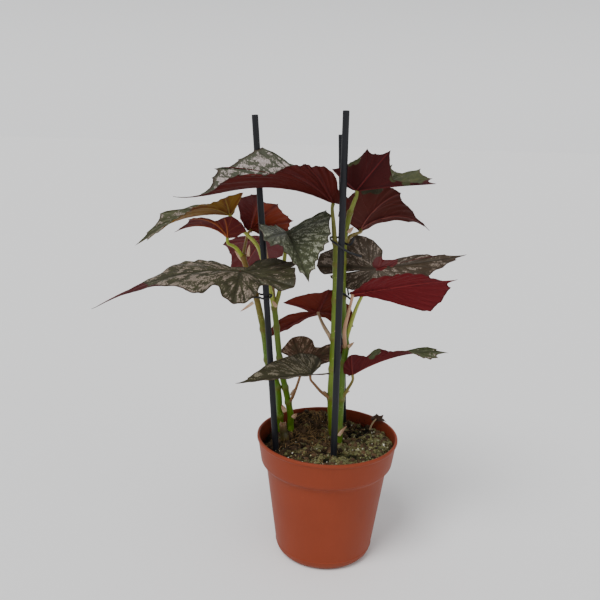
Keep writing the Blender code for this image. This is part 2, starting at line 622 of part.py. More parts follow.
def blade_edge(blade):
    """The cut edge: the tip, the left half's teeth, the base, the right half's, and a point between each two.

    That point is drawn in, or lies on a Catmull-Rom curve through the teeth where the leaf's edge is soft.
    """
    corners = [(1.0, 0.0), *blade.left, (-0.03, 0.0)]
    corners += [(x, -y) for x, y in reversed(blade.right)]
    corners = np.array(corners)
    after = np.roll(corners, -1, axis=0)
    outer = np.roll(corners, 1, axis=0) + np.roll(corners, -2, axis=0)
    soft = np.full((len(corners), 1), float(blade.soft))
    base = len(blade.left)
    soft[[0, base, base + 1, -1]] = 0.0
    between = soft * (9.0 * (corners + after) - outer) / 16.0
    between = between + (1.0 - soft) * 0.5 * (corners + after) * (1.0 - EDGE_CUT)
    edge = np.empty((2 * len(corners), 2))
    edge[0::2] = corners
    edge[1::2] = between
    return edge


def place_blade(blade, x, y):
    """Flat leaf coordinates, in leaf lengths, bent into place in mm.

    Each half turns up about the midrib by its fold and curls on, the blade twists along the midrib,
    steadily or late towards the tip, and the midrib arches between the seat and the tip.
    """
    seat, forward, left, upward, chord = blade_axes(blade)
    arch = math.radians(blade.arch)
    length = chord * (arch / 2) / math.sin(arch / 2)
    reach = np.hypot(x, y)
    veins = [0.0] + [math.atan2(b, a) for a, b in blade.left] + [math.atan2(-b, a) for a, b in blade.right]
    turn = np.arctan2(y, x)[..., None] - np.array(veins)
    from_vein = np.min(np.abs(np.sin(np.clip(turn, -np.pi / 2, np.pi / 2))), axis=-1) * reach
    pleat = PLEAT * np.minimum(from_vein / PLEAT_WIDTH, 1.0)
    on_left = y > 0
    fold = np.radians(np.where(on_left, blade.fold[0], blade.fold[1]))
    curl = np.radians(np.where(on_left, blade.curl[0], blade.curl[1]))
    width = np.abs(y)
    out, up, angle = bend(width, fold, curl)
    soft = width / (width + MIDRIB_ROUND)
    out = width * (1 - soft) + out * soft
    up = up * soft
    across = np.sign(y) * (out - pleat * np.sin(angle))
    raised = up + pleat * np.cos(angle)
    share = np.clip(x, -0.5, 1.2)
    twist = np.radians(blade.twist) * share * (1 - blade.late + blade.late * share**2)
    turned_across = across * np.cos(twist) - raised * np.sin(twist)
    turned_up = across * np.sin(twist) + raised * np.cos(twist)
    run, rise, slope = bend(x, arch / 2, np.where(x > 0, -arch, arch))
    ahead = np.clip(x, 0, 1)
    rise = rise + blade.hook * HOOK_GAIN * ahead**4 * (1 - ahead)
    run = run - turned_up * np.sin(slope)
    rise = rise + turned_up * np.cos(slope)
    place = run[..., None] * forward + turned_across[..., None] * left + rise[..., None] * upward
    return seat + length * place


def leaf_seats():
    """Each leaf's seat and the upward direction of its blade there."""
    seats = {}
    for blade in LEAVES:
        seat, forward, _, upward, _ = blade_axes(blade)
        half = math.radians(blade.arch) / 2
        seats[blade.name] = (seat, upward * math.cos(half) - forward * math.sin(half))
    return seats


def make_leaf(blade):
    """A blade of even thickness: rings of points about its seat, both faces split into triangles alike."""
    edge = blade_edge(blade)
    count = len(edge)
    flat = np.vstack([np.zeros((1, 2))] + [edge * share for share in RING_SHARES])
    middle = place_blade(blade, flat[:, 0], flat[:, 1])
    triangles = [(0, 1 + k, 1 + (k + 1) % count) for k in range(count)]
    for ring in range(len(RING_SHARES) - 1):
        low = 1 + ring * count
        high = low + count
        for k in range(count):
            after = (k + 1) % count
            triangles += [(low + k, high + k, high + after), (low + k, high + after, low + after)]
    corners = middle[np.array(triangles)]
    facing = np.cross(corners[:, 1] - corners[:, 0], corners[:, 2] - corners[:, 0])
    normals = np.zeros_like(middle)
    for corner in range(3):
        np.add.at(normals, [t[corner] for t in triangles], facing)
    normals /= np.linalg.norm(normals, axis=1)[:, None]
    upper = middle + normals * BLADE / 2
    lower = middle - normals * BLADE / 2
    shift = len(middle)
    faces = list(triangles) + [(c + shift, b + shift, a + shift) for a, b, c in triangles]
    rim = 1 + (len(RING_SHARES) - 1) * count
    for k in range(count):
        a = rim + k
        b = rim + (k + 1) % count
        faces += [(b, a, a + shift), (b, a + shift, b + shift)]
    return add_object(blade.name, np.vstack((upper, lower)), faces, "leaf", roughness=0.4)


def make_scrap():
    """The dried scrap, a small bent plate with two prongs, in one body with the stick that it stands on."""
    right = np.array((0.98, -0.2, 0.0))
    upward = np.array((-0.06, -0.3, 0.95))
    normal = np.cross(right, upward)
    flat = np.array(SCRAP_EDGE + ((0.0, 0.0),), float)
    depth = 0.05 * flat[:, 0] ** 2 - 0.03 * flat[:, 1] ** 2
    middle = SCRAP_CENTRE + flat[:, :1] * right + flat[:, 1:] * upward + depth[:, None] * normal
    count = len(SCRAP_EDGE)
    shift = count + 1
    faces = []
    for k in range(count):
        after = (k + 1) % count
        faces.append((count, k, after))
        faces.append((count + shift, after + shift, k + shift))
        faces.append((k, k + shift, after + shift))
        faces.append((k, after + shift, after))
    plate = np.vstack((middle + 0.4 * normal, middle - 0.4 * normal))
    scrap = add_object("dried_scrap", plate, faces, "scrap", roughness=0.8)
    x, y = SCRAP_FOOT
    foot = np.array((x, y, float(soil_height(x, y)) + 2 * GAP + 0.3))
    end = np.array(SCRAP_CENTRE) + 0.5 * right
    path = smooth_route((foot, 0.5 * (foot + end) + (-0.6, 0.0, 0.4), end), 2)
    vertices, faces = swept(path, [SCRAP_STICK_RADIUS] * len(path), STALK_SIDES)
    stick = add_object("stick", vertices, faces, "scrap", roughness=0.8)
    cut_or_join(scrap, stick, "UNION")


def main():
    clear_scene()
    make_pot()
    holes = make_stakes()
    seats = leaf_seats()
    holes += make_canes(seats)
    make_soil(holes)
    make_ties()
    for blade in LEAVES:
        make_leaf(blade)
    make_scrap()


main()
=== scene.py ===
"""The looks of a potted cane begonia: fine leaf blades, canes, stakes, ties, soil, litter and pot.

Lengths below are in millimetres, and MM turns them into metres where a mesh is filled. Angles are in degrees.
The frame's nodes give the places: each fine piece follows the few values of the solid that it stands for.
"""

import math
from collections import namedtuple

import bpy
import numpy as np
from bpy.props import FloatProperty, FloatVectorProperty, IntProperty, PointerProperty
from mathutils import Matrix, Vector


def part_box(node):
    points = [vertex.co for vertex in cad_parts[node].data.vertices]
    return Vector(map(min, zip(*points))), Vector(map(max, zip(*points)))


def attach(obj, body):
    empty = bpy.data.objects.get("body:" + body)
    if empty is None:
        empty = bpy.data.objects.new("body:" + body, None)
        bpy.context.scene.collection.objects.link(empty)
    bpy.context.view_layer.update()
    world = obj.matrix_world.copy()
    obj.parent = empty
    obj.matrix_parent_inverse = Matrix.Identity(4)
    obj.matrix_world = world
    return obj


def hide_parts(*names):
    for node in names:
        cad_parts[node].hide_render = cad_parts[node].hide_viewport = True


bl_info = {
    "name": "Potted Begonia",
    "version": (1, 0, 0),
    "blender": (4, 5, 0),
    "location": "3D View > Sidebar > Begonia",
    "description": "Builds the leaves, canes, stakes, ties, soil and pot of a tall cane begonia",
    "category": "Add Mesh",
}

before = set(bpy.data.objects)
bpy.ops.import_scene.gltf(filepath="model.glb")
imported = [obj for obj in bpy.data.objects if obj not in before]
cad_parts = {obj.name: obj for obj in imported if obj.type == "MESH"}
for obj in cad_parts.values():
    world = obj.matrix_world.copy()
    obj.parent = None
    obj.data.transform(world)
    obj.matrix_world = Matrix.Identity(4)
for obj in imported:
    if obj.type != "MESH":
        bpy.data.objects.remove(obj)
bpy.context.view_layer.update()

MM = 0.001
BODY = "root"

# The pot, as its solid has it
POT_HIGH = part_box("pot")[1]
RIM_RADIUS = POT_HIGH.x / MM
RIM_HEIGHT = POT_HIGH.z / MM
BAND_LOWER_RADIUS = 65.6
BAND_LOWER_HEIGHT = 98.0
BODY_TOP_RADIUS = 60.4
BODY_TOP_HEIGHT = 93.0
SEAM_RADIUS = 49.0
SEAM_HEIGHT = 9.5
FOOT_RADIUS = 43.5
WALL = 1.6
FLOOR = 2.4
LIP = 2.6
DRAIN_HOLES = 6
DRAIN_HOLE_RADIUS = 4.0
DRAIN_HOLE_CIRCLE = 30.0

# The soil
SOIL_LEVEL = 113.0
SOIL_FRONT_RISE = 3.0
SOIL_RIGHT_RISE = 2.5
HEAP_PLACE = (-18.0, 54.0)
HEAP_REACH = (20.0, 13.0)
HEAP_HEIGHT = 14.0
MOUND_HEIGHT = 1.6  # the low mound round each stem and stake
MOUND_WIDTH = 6.5
SOIL_GAP = 0.3
STEM_DEPTH = 14.0  # how far canes and stakes go down into it
FIBRE_LIMIT = 61.0  # rootlets keep this near to the axis
LEAFLETS = 60  # in each cushion of moss

# Stakes as (foot at soil level, top)
STAKE_RADIUS = 3.0
STAKES = {
    "stake_left": ((-50, -16), (-77, 0, 430)),
    "stake_front": ((7, -36), (5, -22, 435)),
    "stake_back": ((17, 50), (2, 30, 415)),
}

# Leaf blades: seat and tip in mm, angles in degrees, each half's teeth as (along, across) in leaf lengths
Leaf = namedtuple("Leaf", "name seat tip roll arch fold curl twist late hook soft left right")
PLEAT = 0.012


def leaf(
    name, seat, tip, left, right, roll=0, arch=10, fold=(0, 0), curl=(0, 0), twist=0, late=0, hook=0.0,
    soft=0.0,
):
    """One blade's shape; what few blades need is nought unless it is given."""
    return Leaf(name, seat, tip, roll, arch, fold, curl, twist, late, hook, soft, left, right)


SLIM_HALF = (
    (0.84, 0.06), (0.66, 0.15), (0.46, 0.22), (0.22, 0.25), (0.0, 0.27), (-0.15, 0.19), (-0.18, 0.06))

LEAVES = (
    leaf(
        "leaf_top_left", (-3, -7, 354), (-135, -72, 360), arch=42, fold=(32, 45), hook=-0.04, soft=0.5,
        left=((0.85, 0.015), (0.79, 0.05), (0.75, 0.125), (0.70, 0.175), (0.66, 0.187), (0.59, 0.168),
              (0.52, 0.155), (0.47, 0.17), (0.45, 0.22), (0.41, 0.26), (0.36, 0.265), (0.34, 0.295),
              (0.30, 0.275), (0.26, 0.29), (0.21, 0.285), (0.12, 0.22), (0.06, 0.14), (-0.03, 0.11),
              (-0.08, 0.07)),
        right=((0.83, 0.02), (0.74, 0.12), (0.71, 0.18), (0.65, 0.17), (0.57, 0.22), (0.47, 0.29),
               (0.42, 0.32), (0.30, 0.235), (0.22, 0.20), (0.08, 0.16), (-0.04, 0.12), (-0.08, 0.04)),
    ),
    leaf(
        "leaf_top_right", (18, -5, 366), (81, -60, 377), arch=5, fold=(35, 80),
        left=((0.90, 0.10), (0.67, 0.28), (0.50, 0.23), (0.36, 0.28), (0.22, 0.44), (0.02, 0.34),
              (-0.22, 0.42), (-0.32, 0.30), (-0.18, 0.08)),
        right=((0.80, 0.03), (0.50, 0.08), (0.53, 0.38), (0.34, 0.37), (0.25, 0.43), (-0.01, 0.32),
               (-0.28, 0.28), (-0.15, 0.08)),
    ),
    leaf(
        "leaf_right_red", (24, 30, 326), (87, 5, 330), roll=40, arch=100, fold=(-5, 5), soft=0.4,
        left=((0.88, 0.04), (0.63, 0.10), (0.35, 0.10), (0.10, 0.09), (-0.04, 0.06)),
        right=((0.90, 0.03), (0.79, 0.04), (0.74, 0.15), (0.65, 0.24), (0.62, 0.32), (0.64, 0.45),
               (0.56, 0.52), (0.45, 0.56), (0.20, 0.60), (0.02, 0.56), (-0.11, 0.52), (-0.18, 0.40),
               (-0.13, 0.27), (-0.07, 0.13)),
    ),
    leaf(
        "leaf_right_middle", (39, 5, 292), (119, -20, 312), roll=-62, arch=-10, twist=-40, soft=0.6,
        left=((0.76, 0.08), (0.66, 0.07), (0.57, 0.11), (0.37, 0.10), (0.22, 0.08), (0.09, 0.10),
              (0.09, 0.21), (0.0, 0.33), (-0.08, 0.38), (-0.19, 0.41), (-0.34, 0.32), (-0.60, 0.25),
              (-0.67, 0.12), (-0.58, 0.01)),
        right=((0.90, 0.06), (0.76, 0.14), (0.62, 0.21), (0.48, 0.24), (0.31, 0.20), (0.04, 0.17),
               (-0.16, 0.20), (-0.28, 0.21), (-0.40, 0.15), (-0.52, 0.01)),
    ),
    leaf(
        "leaf_right_lower", (18.5, -12, 270.5), (105, -60, 297), roll=38, arch=5, fold=(-20, -8), soft=1,
        left=((0.91, 0.09), (0.83, 0.17), (0.77, 0.24), (0.71, 0.275), (0.64, 0.33), (0.57, 0.315),
              (0.47, 0.262), (0.40, 0.225), (0.27, 0.153), (0.17, 0.098), (0.08, 0.06), (-0.02, 0.045)),
        right=((0.87, 0.015), (0.80, 0.085), (0.79, 0.13), (0.70, 0.185), (0.59, 0.21), (0.50, 0.195),
               (0.37, 0.215), (0.26, 0.19), (0.12, 0.10), (0.03, 0.05), (-0.03, 0.02)),
    ),
    leaf(
        "leaf_left_middle", (-80, -60, 297), (-195, -105, 269), roll=8, arch=40, curl=(-90, 0), soft=1,
        left=((0.71, 0.05), (0.53, 0.12), (0.39, 0.25), (0.32, 0.27), (0.22, 0.21), (0.20, 0.31),
              (0.14, 0.37), (0.06, 0.37), (-0.02, 0.31), (-0.10, 0.19), (-0.20, 0.26), (-0.30, 0.23),
              (-0.35, 0.10), (-0.35, 0.004)),
        right=((0.71, 0.03), (0.53, 0.08), (0.38, 0.20), (0.29, 0.20), (0.20, 0.20), (0.12, 0.13),
               (0.05, 0.07), (-0.08, 0.10), (-0.23, 0.24), (-0.38, 0.16), (-0.37, 0.004)),
    ),
    leaf(
        "leaf_left_lower", (-18, -28, 195), (-82, -75, 200), roll=22, arch=5, fold=(38, 0), soft=0.9,
        left=SLIM_HALF,
        right=((0.82, 0.06), (0.63, 0.15), (0.41, 0.26), (0.30, 0.29), (0.05, 0.36), (-0.15, 0.38),
               (-0.30, 0.28), (-0.22, 0.12)),
    ),
    leaf(
        "leaf_middle_lower", (-27, 5, 196), (19, 22, 205), roll=-25, arch=20, fold=(20, 0), soft=0.8,
        left=((0.94, 0.09), (0.82, 0.15), (0.62, 0.21), (0.46, 0.18), (0.34, 0.22), (0.34, 0.38),
              (0.22, 0.52), (0.0, 0.57), (-0.18, 0.48), (-0.33, 0.34)),
        right=SLIM_HALF,
    ),
    leaf(
        "leaf_right_narrow", (22, -5, 189), (108, -30, 223), roll=25, arch=36, fold=(20, 40),
        twist=150, late=1, soft=0.7,
        left=((0.90, 0.03), (0.80, 0.05), (0.67, 0.05), (0.55, 0.045), (0.40, 0.05), (0.25, 0.09),
              (0.05, 0.13), (-0.08, 0.08)),
        right=((0.91, 0.06), (0.85, 0.10), (0.79, 0.125), (0.70, 0.115), (0.60, 0.10), (0.50, 0.085),
               (0.45, 0.10), (0.41, 0.14), (0.36, 0.17), (0.29, 0.14), (0.23, 0.12), (0.19, 0.16),
               (0.12, 0.22), (0.06, 0.20), (-0.01, 0.15), (-0.06, 0.07)),
    ),
    leaf(
        "leaf_centre", (-46, 8, 323), (-21, -62, 290), arch=10, fold=(35, 35), soft=0.3,
        left=((0.86, 0.12), (0.74, 0.19), (0.65, 0.29), (0.58, 0.38), (0.47, 0.44), (0.16, 0.55),
              (0.03, 0.53), (0.0, 0.38), (-0.04, 0.18)),
        right=((0.90, 0.10), (0.80, 0.17), (0.67, 0.28), (0.57, 0.29), (0.72, 0.48), (0.67, 0.56),
               (0.47, 0.58), (0.36, 0.56), (0.24, 0.40), (0.11, 0.26), (0.0, 0.18)),
    ),
    leaf(
        "leaf_upper_left", (-98, -8, 340), (-176, -45, 314), arch=50, fold=(50, 20), twist=-60, soft=0.6,
        left=((0.89, 0.09), (0.77, 0.17), (0.66, 0.17), (0.56, 0.15), (0.49, 0.19), (0.46, 0.28),
              (0.39, 0.31), (0.29, 0.235), (0.25, 0.22), (0.18, 0.23), (0.12, 0.27), (0.04, 0.29),
              (-0.05, 0.31), (-0.03, 0.15), (-0.03, 0.05)),
        right=((0.85, 0.03), (0.72, 0.06), (0.65, 0.13), (0.55, 0.115), (0.45, 0.10), (0.25, 0.14),
               (0.05, 0.15), (-0.08, 0.10)),
    ),
    leaf(
        "leaf_left_red", (-99, -15, 320), (-137, -62, 329), arch=60, fold=(40, 20), soft=0.3,
        left=((0.96, 0.03), (0.90, 0.06), (0.85, 0.12), (0.88, 0.25), (0.78, 0.24), (0.64, 0.22),
              (0.52, 0.18), (0.43, 0.155), (0.38, 0.17), (0.35, 0.27), (0.27, 0.34), (0.09, 0.33),
              (-0.08, 0.29), (-0.09, 0.10)),
        right=((0.90, 0.03), (0.75, 0.07), (0.55, 0.055), (0.35, 0.08), (0.15, 0.05), (-0.05, 0.06)),
    ),
    leaf(
        "leaf_back_upper", (-87, 62, 318), (-70, 8, 360), arch=20, soft=0.2,
        left=((0.82, 0.04), (0.67, 0.10), (0.63, 0.29), (0.45, 0.38), (0.31, 0.50), (0.19, 0.60),
              (0.05, 0.58), (-0.06, 0.60), (-0.12, 0.47), (-0.13, 0.14)),
        right=((0.92, 0.13), (0.80, 0.27), (0.71, 0.32), (0.48, 0.24), (0.24, 0.19), (0.04, 0.10),
               (-0.03, 0.05)),
    ),
    leaf(
        "leaf_back_lower", (-73, 54, 310), (-108, 110, 241), arch=30, soft=0.5,
        left=((0.90, 0.06), (0.77, 0.15), (0.50, 0.20), (0.33, 0.27), (0.12, 0.42), (0.02, 0.38),
              (-0.08, 0.20)),
        right=((0.85, 0.10), (0.65, 0.30), (0.45, 0.42), (0.25, 0.38), (0.10, 0.28), (-0.10, 0.15)),
    ),
    leaf(
        "leaf_middle_red", (-14, 16, 245), (-70, 34, 207), roll=-30, arch=10, fold=(10, 0),
        curl=(0, -150), soft=0.4,
        left=((0.75, 0.14), (0.50, 0.22), (0.29, 0.19), (0.10, 0.09), (0.22, 0.52), (-0.15, 0.45),
              (-0.30, 0.36), (-0.42, 0.36), (-0.46, 0.20), (-0.32, 0.006)),
        right=((0.80, 0.05), (0.60, 0.09), (0.40, 0.09), (0.12, 0.08), (0.04, 0.17), (-0.03, 0.31),
               (-0.13, 0.47), (-0.22, 0.52), (-0.30, 0.49), (-0.34, 0.41), (-0.385, 0.30), (-0.43, 0.21),
               (-0.38, 0.10), (-0.32, 0.006)),
    ),
)

# Each cane as its own route of (x, y, z, radius), then the stalks that grow from it and their leaves
Stalk = namedtuple("Stalk", "leaf route end_radius")
CANES = {
    "cane_left": (
        ((-49, 27, 113, 3.4), (-53, 20, 165, 3.4), (-62, 14, 189, 3.3), (-66, 8, 222, 3.2),
         (-74, 2, 262, 3.0), (-83, 0, 289, 2.7), (-87, 0, 301, 2.6)),
        (
            Stalk("leaf_left_red", ((-86.5, 0, 299, 2.2), (-93, -5, 309, 1.7)), 1.4),
            Stalk("leaf_back_upper", ((-86.5, 0, 299, 2.0), (-86, 14, 311, 1.5), (-86, 36, 318, 1.4)), 1.3),
            Stalk("leaf_left_middle", ((-76, 1.5, 269, 2.2), (-77, -26, 280, 1.7)), 1.5),
        ),
    ),
    "cane_middle_left": (
        ((-39, 31, 113, 3.4), (-39, 28, 130, 3.4), (-43, 24, 153, 3.3), (-50, 18, 188, 3.1),
         (-55, 11, 236, 2.9), (-57, 9, 251, 2.7)),
        (
            Stalk("leaf_centre", ((-56.5, 9.5, 248, 2.5), (-52, 9, 265, 2.1), (-48, 12, 296, 1.9)), 1.5),
            Stalk("leaf_upper_left", ((-56.5, 9, 248, 2.4), (-62, 7, 272, 2.1), (-69, 4, 299, 2.0),
                                      (-74, 0, 312, 1.9), (-84, -4, 323, 1.8)), 1.5),
            Stalk("leaf_back_lower", ((-56.5, 9.5, 248, 2.2), (-60, 18, 272, 1.7), (-68, 37, 296, 1.5)), 1.4),
            Stalk("leaf_middle_lower", ((-41, 26, 144, 2.0), (-36, 20, 155, 1.5), (-30, 10, 177, 1.3)), 1.3),
        ),
    ),
    "cane_middle": (
        ((5, 9, 113, 3.4), (2, -6, 160, 3.3), (2, -8, 190, 3.2), (2.5, -8, 232, 3.1), (2, -8, 282, 3.0),
         (0.5, -8, 318, 2.6)),
        (
            Stalk("leaf_top_left", ((0, -8, 316, 2.4), (-2, -5, 334, 2.0)), 1.6),
            Stalk("leaf_left_lower", ((1.5, -7, 164, 2.0), (-7, -15, 173, 1.5), (-14, -24, 184, 1.3)), 1.2),
            Stalk("leaf_middle_red", ((1, -8, 224, 2.2), (-7, 0, 234, 1.8)), 1.4),
        ),
    ),
    "cane_right": (
        ((12, -2, 113, 3.4), (12, 0, 160, 3.4), (12.5, 2, 191, 3.3), (15, 3, 216, 3.1), (12, 3, 232, 3.0),
         (9.5, 2, 271, 2.9), (8.5, 0, 310, 2.8), (9.5, 0, 327, 2.7), (13, -3, 347, 2.5)),
        (
            Stalk("leaf_top_right", ((12.5, -2.5, 344, 2.3), (17, -4, 358, 1.9)), 1.6),
            Stalk("leaf_right_red", ((10.5, 0, 318, 2.3), (15, 10, 322, 1.8)), 1.5),
            Stalk("leaf_right_middle", ((14.5, 3.5, 222, 2.3), (23, 7, 252, 1.8), (32, 12, 272, 1.6)), 1.4),
            Stalk("leaf_right_lower", ((14, 2, 214, 2.2), (12.5, -5, 233, 1.8), (15.5, -9, 252, 1.6)), 1.4),
            Stalk("leaf_right_narrow", ((12.5, 0, 160, 2.1), (18, -2, 172, 1.6)), 1.3),
        ),
    ),
}
STUB = ((-43, 3, 113, 4.0), (-44, 4, 121, 4.0), (-45, 4, 130, 3.4))

# Ties as one strand each, bent by hand round the stems that they hold
TIES = {
    "tie_front": (
        (24, -35.4, 310), (17, -35.2, 312), (11, -33.8, 314), (5.5, -31.7, 317), (0.2, -27.6, 320),
        (-3.5, -18, 321), (-4.4, -8, 322), (-2.5, -3.6, 322), (1.5, -3.4, 322), (4.2, -8, 322),
        (7, -16, 320), (12, -22, 318), (15, -25, 320), (17, -25, 325),
    ),
    "tie_left": (
        (-86, -3, 260), (-80, -3.5, 261), (-74, -3.6, 261.5), (-69.5, -6, 262), (-66.4, -11.6, 262.5),
        (-62.8, -13.2, 263), (-59, -11.7, 264), (-58, -8, 265), (-60, -4.6, 265), (-65, -1, 264),
        (-69.2, 3.2, 263), (-72, 6.6, 263), (-76, 7, 263), (-80, 5, 263),
    ),
    "tie_back": (
        (19, -4, 262), (15, -3.2, 265), (10.3, -2.6, 268), (6.2, -1, 269), (4.8, 4, 269), (4.6, 16, 268),
        (4.6, 30, 267), (4.6, 38, 266), (6, 43.4, 266), (10, 44.6, 266), (13.8, 42, 266), (14.4, 36, 266),
        (14.4, 22, 267), (14.6, 8, 267), (15, 2, 266),
    ),
}

# The dried scrap on its stick
SCRAP_FOOT = (44.5, 40.0)
SCRAP_CENTRE = (50.0, 36.0, 127.0)
SCRAP_HALF_THICKNESS = 0.3
SCRAP_EDGE = (
    (-2, -5), (2, -3.2), (6, 0), (12, 3.5), (7.4, 3.4), (8.4, 7.5), (4.2, 4.4), (1, 6.2), (-2, 3), (-5, 1.2),
    (-4.2, -3))

# Colours as 0 to 255 values: each cane's at its foot and its top, and the share of its length where they meet
CANE_COLOURS = {
    "cane_left": ((78, 112, 20), (118, 92, 34), 0.68),
    "cane_middle_left": ((86, 120, 24), (96, 116, 34), 0.6),
    "cane_middle": ((104, 126, 34), (96, 98, 34), 0.9),
    "cane_right": ((80, 108, 28), (106, 116, 36), 0.7),
}
STALK_COLOURS = {
    "leaf_left_red": (150, 165, 52),
    "leaf_back_upper": (120, 98, 52),
    "leaf_left_middle": (120, 130, 50),
    "leaf_centre": (132, 136, 52),
    "leaf_upper_left": (168, 176, 78),
    "leaf_back_lower": (140, 110, 66),
    "leaf_middle_lower": (142, 104, 70),
    "leaf_top_left": (112, 112, 46),
    "leaf_left_lower": (130, 92, 60),
    "leaf_middle_red": (186, 158, 128),
    "leaf_top_right": (116, 124, 52),
    "leaf_right_red": (124, 110, 58),
    "leaf_right_middle": (150, 158, 70),
    "leaf_right_lower": (184, 142, 112),
    "leaf_right_narrow": (124, 112, 58),
}

# A blade's look. silver: how much of the upper face it takes; base_silver: that share's factor behind the
# seat; band: how far in mm green keeps to the main veins and the edge; specks: how much of the silver is
# white dots; ground, olive: upper colours; red: lower colour; veins: lower colour along the veins; glow:
# light that comes through, its share, and its half of the blade: -1 right, 1 left, 0 both
Look = namedtuple(
    "Look",
    "silver base_silver band specks ground olive silver_colour red veins glow glow_share glow_half",
    defaults=(0.5, 1.0, 1.8, 0.1, (54, 50, 34), (70, 70, 48), (152, 138, 130), (50, 8, 11), (112, 40, 36),
              (96, 26, 16), 0.15, 0),
)
LOOKS = {
    "leaf_top_left": Look(
        band=4.0, ground=(68, 70, 56), olive=(86, 88, 72), silver_colour=(186, 172, 168), red=(58, 8, 10),
        veins=(96, 30, 26), glow=(98, 30, 18), glow_share=0.35),
    "leaf_top_right": Look(
        silver=-0.25, ground=(58, 62, 38), olive=(84, 84, 50), red=(42, 2, 6), veins=(104, 30, 30)),
    "leaf_right_red": Look(
        silver=-0.3, ground=(44, 42, 26), olive=(60, 58, 36), red=(62, 11, 12), veins=(140, 74, 66),
        glow=(86, 34, 20), glow_share=0.45),
    "leaf_right_middle": Look(
        silver=0.32, ground=(60, 48, 36), olive=(76, 68, 54), silver_colour=(136, 122, 110),
        red=(72, 10, 16)),
    "leaf_right_lower": Look(red=(72, 5, 15), veins=(148, 48, 48), glow=(116, 18, 24), glow_share=0.45),
    "leaf_left_middle": Look(
        silver=0.4, base_silver=0.45, ground=(50, 48, 32), silver_colour=(138, 124, 112)),
    "leaf_left_lower": Look(silver=0.38, ground=(68, 64, 46), silver_colour=(146, 138, 118)),
    "leaf_middle_lower": Look(silver=0.38, ground=(86, 62, 46), silver_colour=(154, 128, 110)),
    "leaf_right_narrow": Look(silver=0.35, ground=(62, 68, 42), olive=(84, 86, 60), red=(66, 7, 14)),
    "leaf_centre": Look(
        silver=0.3, specks=0.7, ground=(60, 64, 44), olive=(86, 90, 64), silver_colour=(200, 202, 180)),
    "leaf_upper_left": Look(
        silver=0.4, ground=(74, 76, 52), red=(98, 42, 16), veins=(150, 130, 56), glow=(126, 92, 28),
        glow_share=0.85),
    "leaf_left_red": Look(
        silver=0.3, ground=(66, 48, 34), red=(84, 18, 18), veins=(166, 92, 40), glow=(136, 52, 26),
        glow_share=0.7, glow_half=-1),
    "leaf_back_upper": Look(
        red=(74, 13, 15), veins=(128, 50, 38), glow=(124, 46, 24), glow_share=0.95, glow_half=1),
    "leaf_back_lower": Look(red=(80, 18, 22), veins=(132, 62, 56), glow=(100, 28, 30), glow_share=0.4),
    "leaf_middle_red": Look(red=(74, 12, 16), glow=(116, 42, 20), glow_share=0.5),
}

# Where an edge curls over and shows the other face's colours: centre and radius in leaf lengths, with a
# radius above 0 for red on the upper face and below 0 for green on the lower one
BLUSHES = {
    "leaf_left_middle": ((0.80, 0.0, 0.16), (0.62, 0.12, 0.06)),
    "leaf_top_right": (
        (0.92, 0.0, 0.1), (0.06, -0.36, -0.07), (-0.03, -0.34, -0.06), (0.50, -0.09, -0.04),
        (0.66, -0.04, -0.05)),
    "leaf_right_red": ((0.36, -0.50, -0.07), (0.25, -0.52, -0.05)),
    "leaf_right_middle": ((0.06, 0.05, 0.08), (0.19, 0.06, 0.06)),
    "leaf_middle_lower": ((0.85, 0.0, 0.12),),
    "leaf_right_narrow": ((0.33, -0.14, -0.05), (0.27, -0.09, -0.03)),
}

# Dry papery sheaths at the nodes: place, tip direction, the side that faces out, length and width in mm
SHEATHS = (
    ((-44, 20, 136), (-0.35, -0.2, 0.9), (0.2, -1, 0.1), 11, 5),
    ((-36, 24, 128), (0.5, -0.1, 0.85), (0.2, -1, 0.1), 8, 5),
    ((-86, -1, 296), (-0.65, -0.1, 0.75), (0.1, -1, 0.2), 13, 4),
    ((-82, 1, 300), (0.12, -0.05, 1.0), (0.2, -1, 0.1), 12, 3.5),
    ((-76, -1, 256), (-0.75, -0.2, -0.6), (-0.2, -1, 0.2), 15, 3),
    ((-55, 6, 250), (-0.3, -0.3, 0.9), (-0.2, -1, 0.1), 9, 4),
    ((4, -11, 232), (0.5, -0.3, 0.8), (0.3, -1, 0.1), 8, 3.5),
    ((15, 0, 166), (0.6, -0.3, 0.7), (0.4, -1, 0.2), 9, 4),
    ((12, -6, 124), (0.4, 0, 0.9), (0.5, -0.8, 0.2), 14, 4.5),
    ((17, 0, 214), (0.5, -0.3, 0.8), (0.3, -1, 0.1), 10, 4),
    ((-2, -6, 166), (-0.4, -0.3, 0.9), (-0.3, -1, 0.1), 8, 4),
    ((12, -3, 326), (0.5, -0.3, 0.8), (0.3, -1, 0.1), 9, 4),
    ((-38, 30, 150), (0.3, 0.6, 0.8), (0.2, 1, 0.1), 10, 5),
    ((-60, 20, 190), (-0.3, 0.6, 0.8), (-0.2, 1, 0.1), 10, 4),
)

SHEATH_HALF_THICKNESS = 0.09

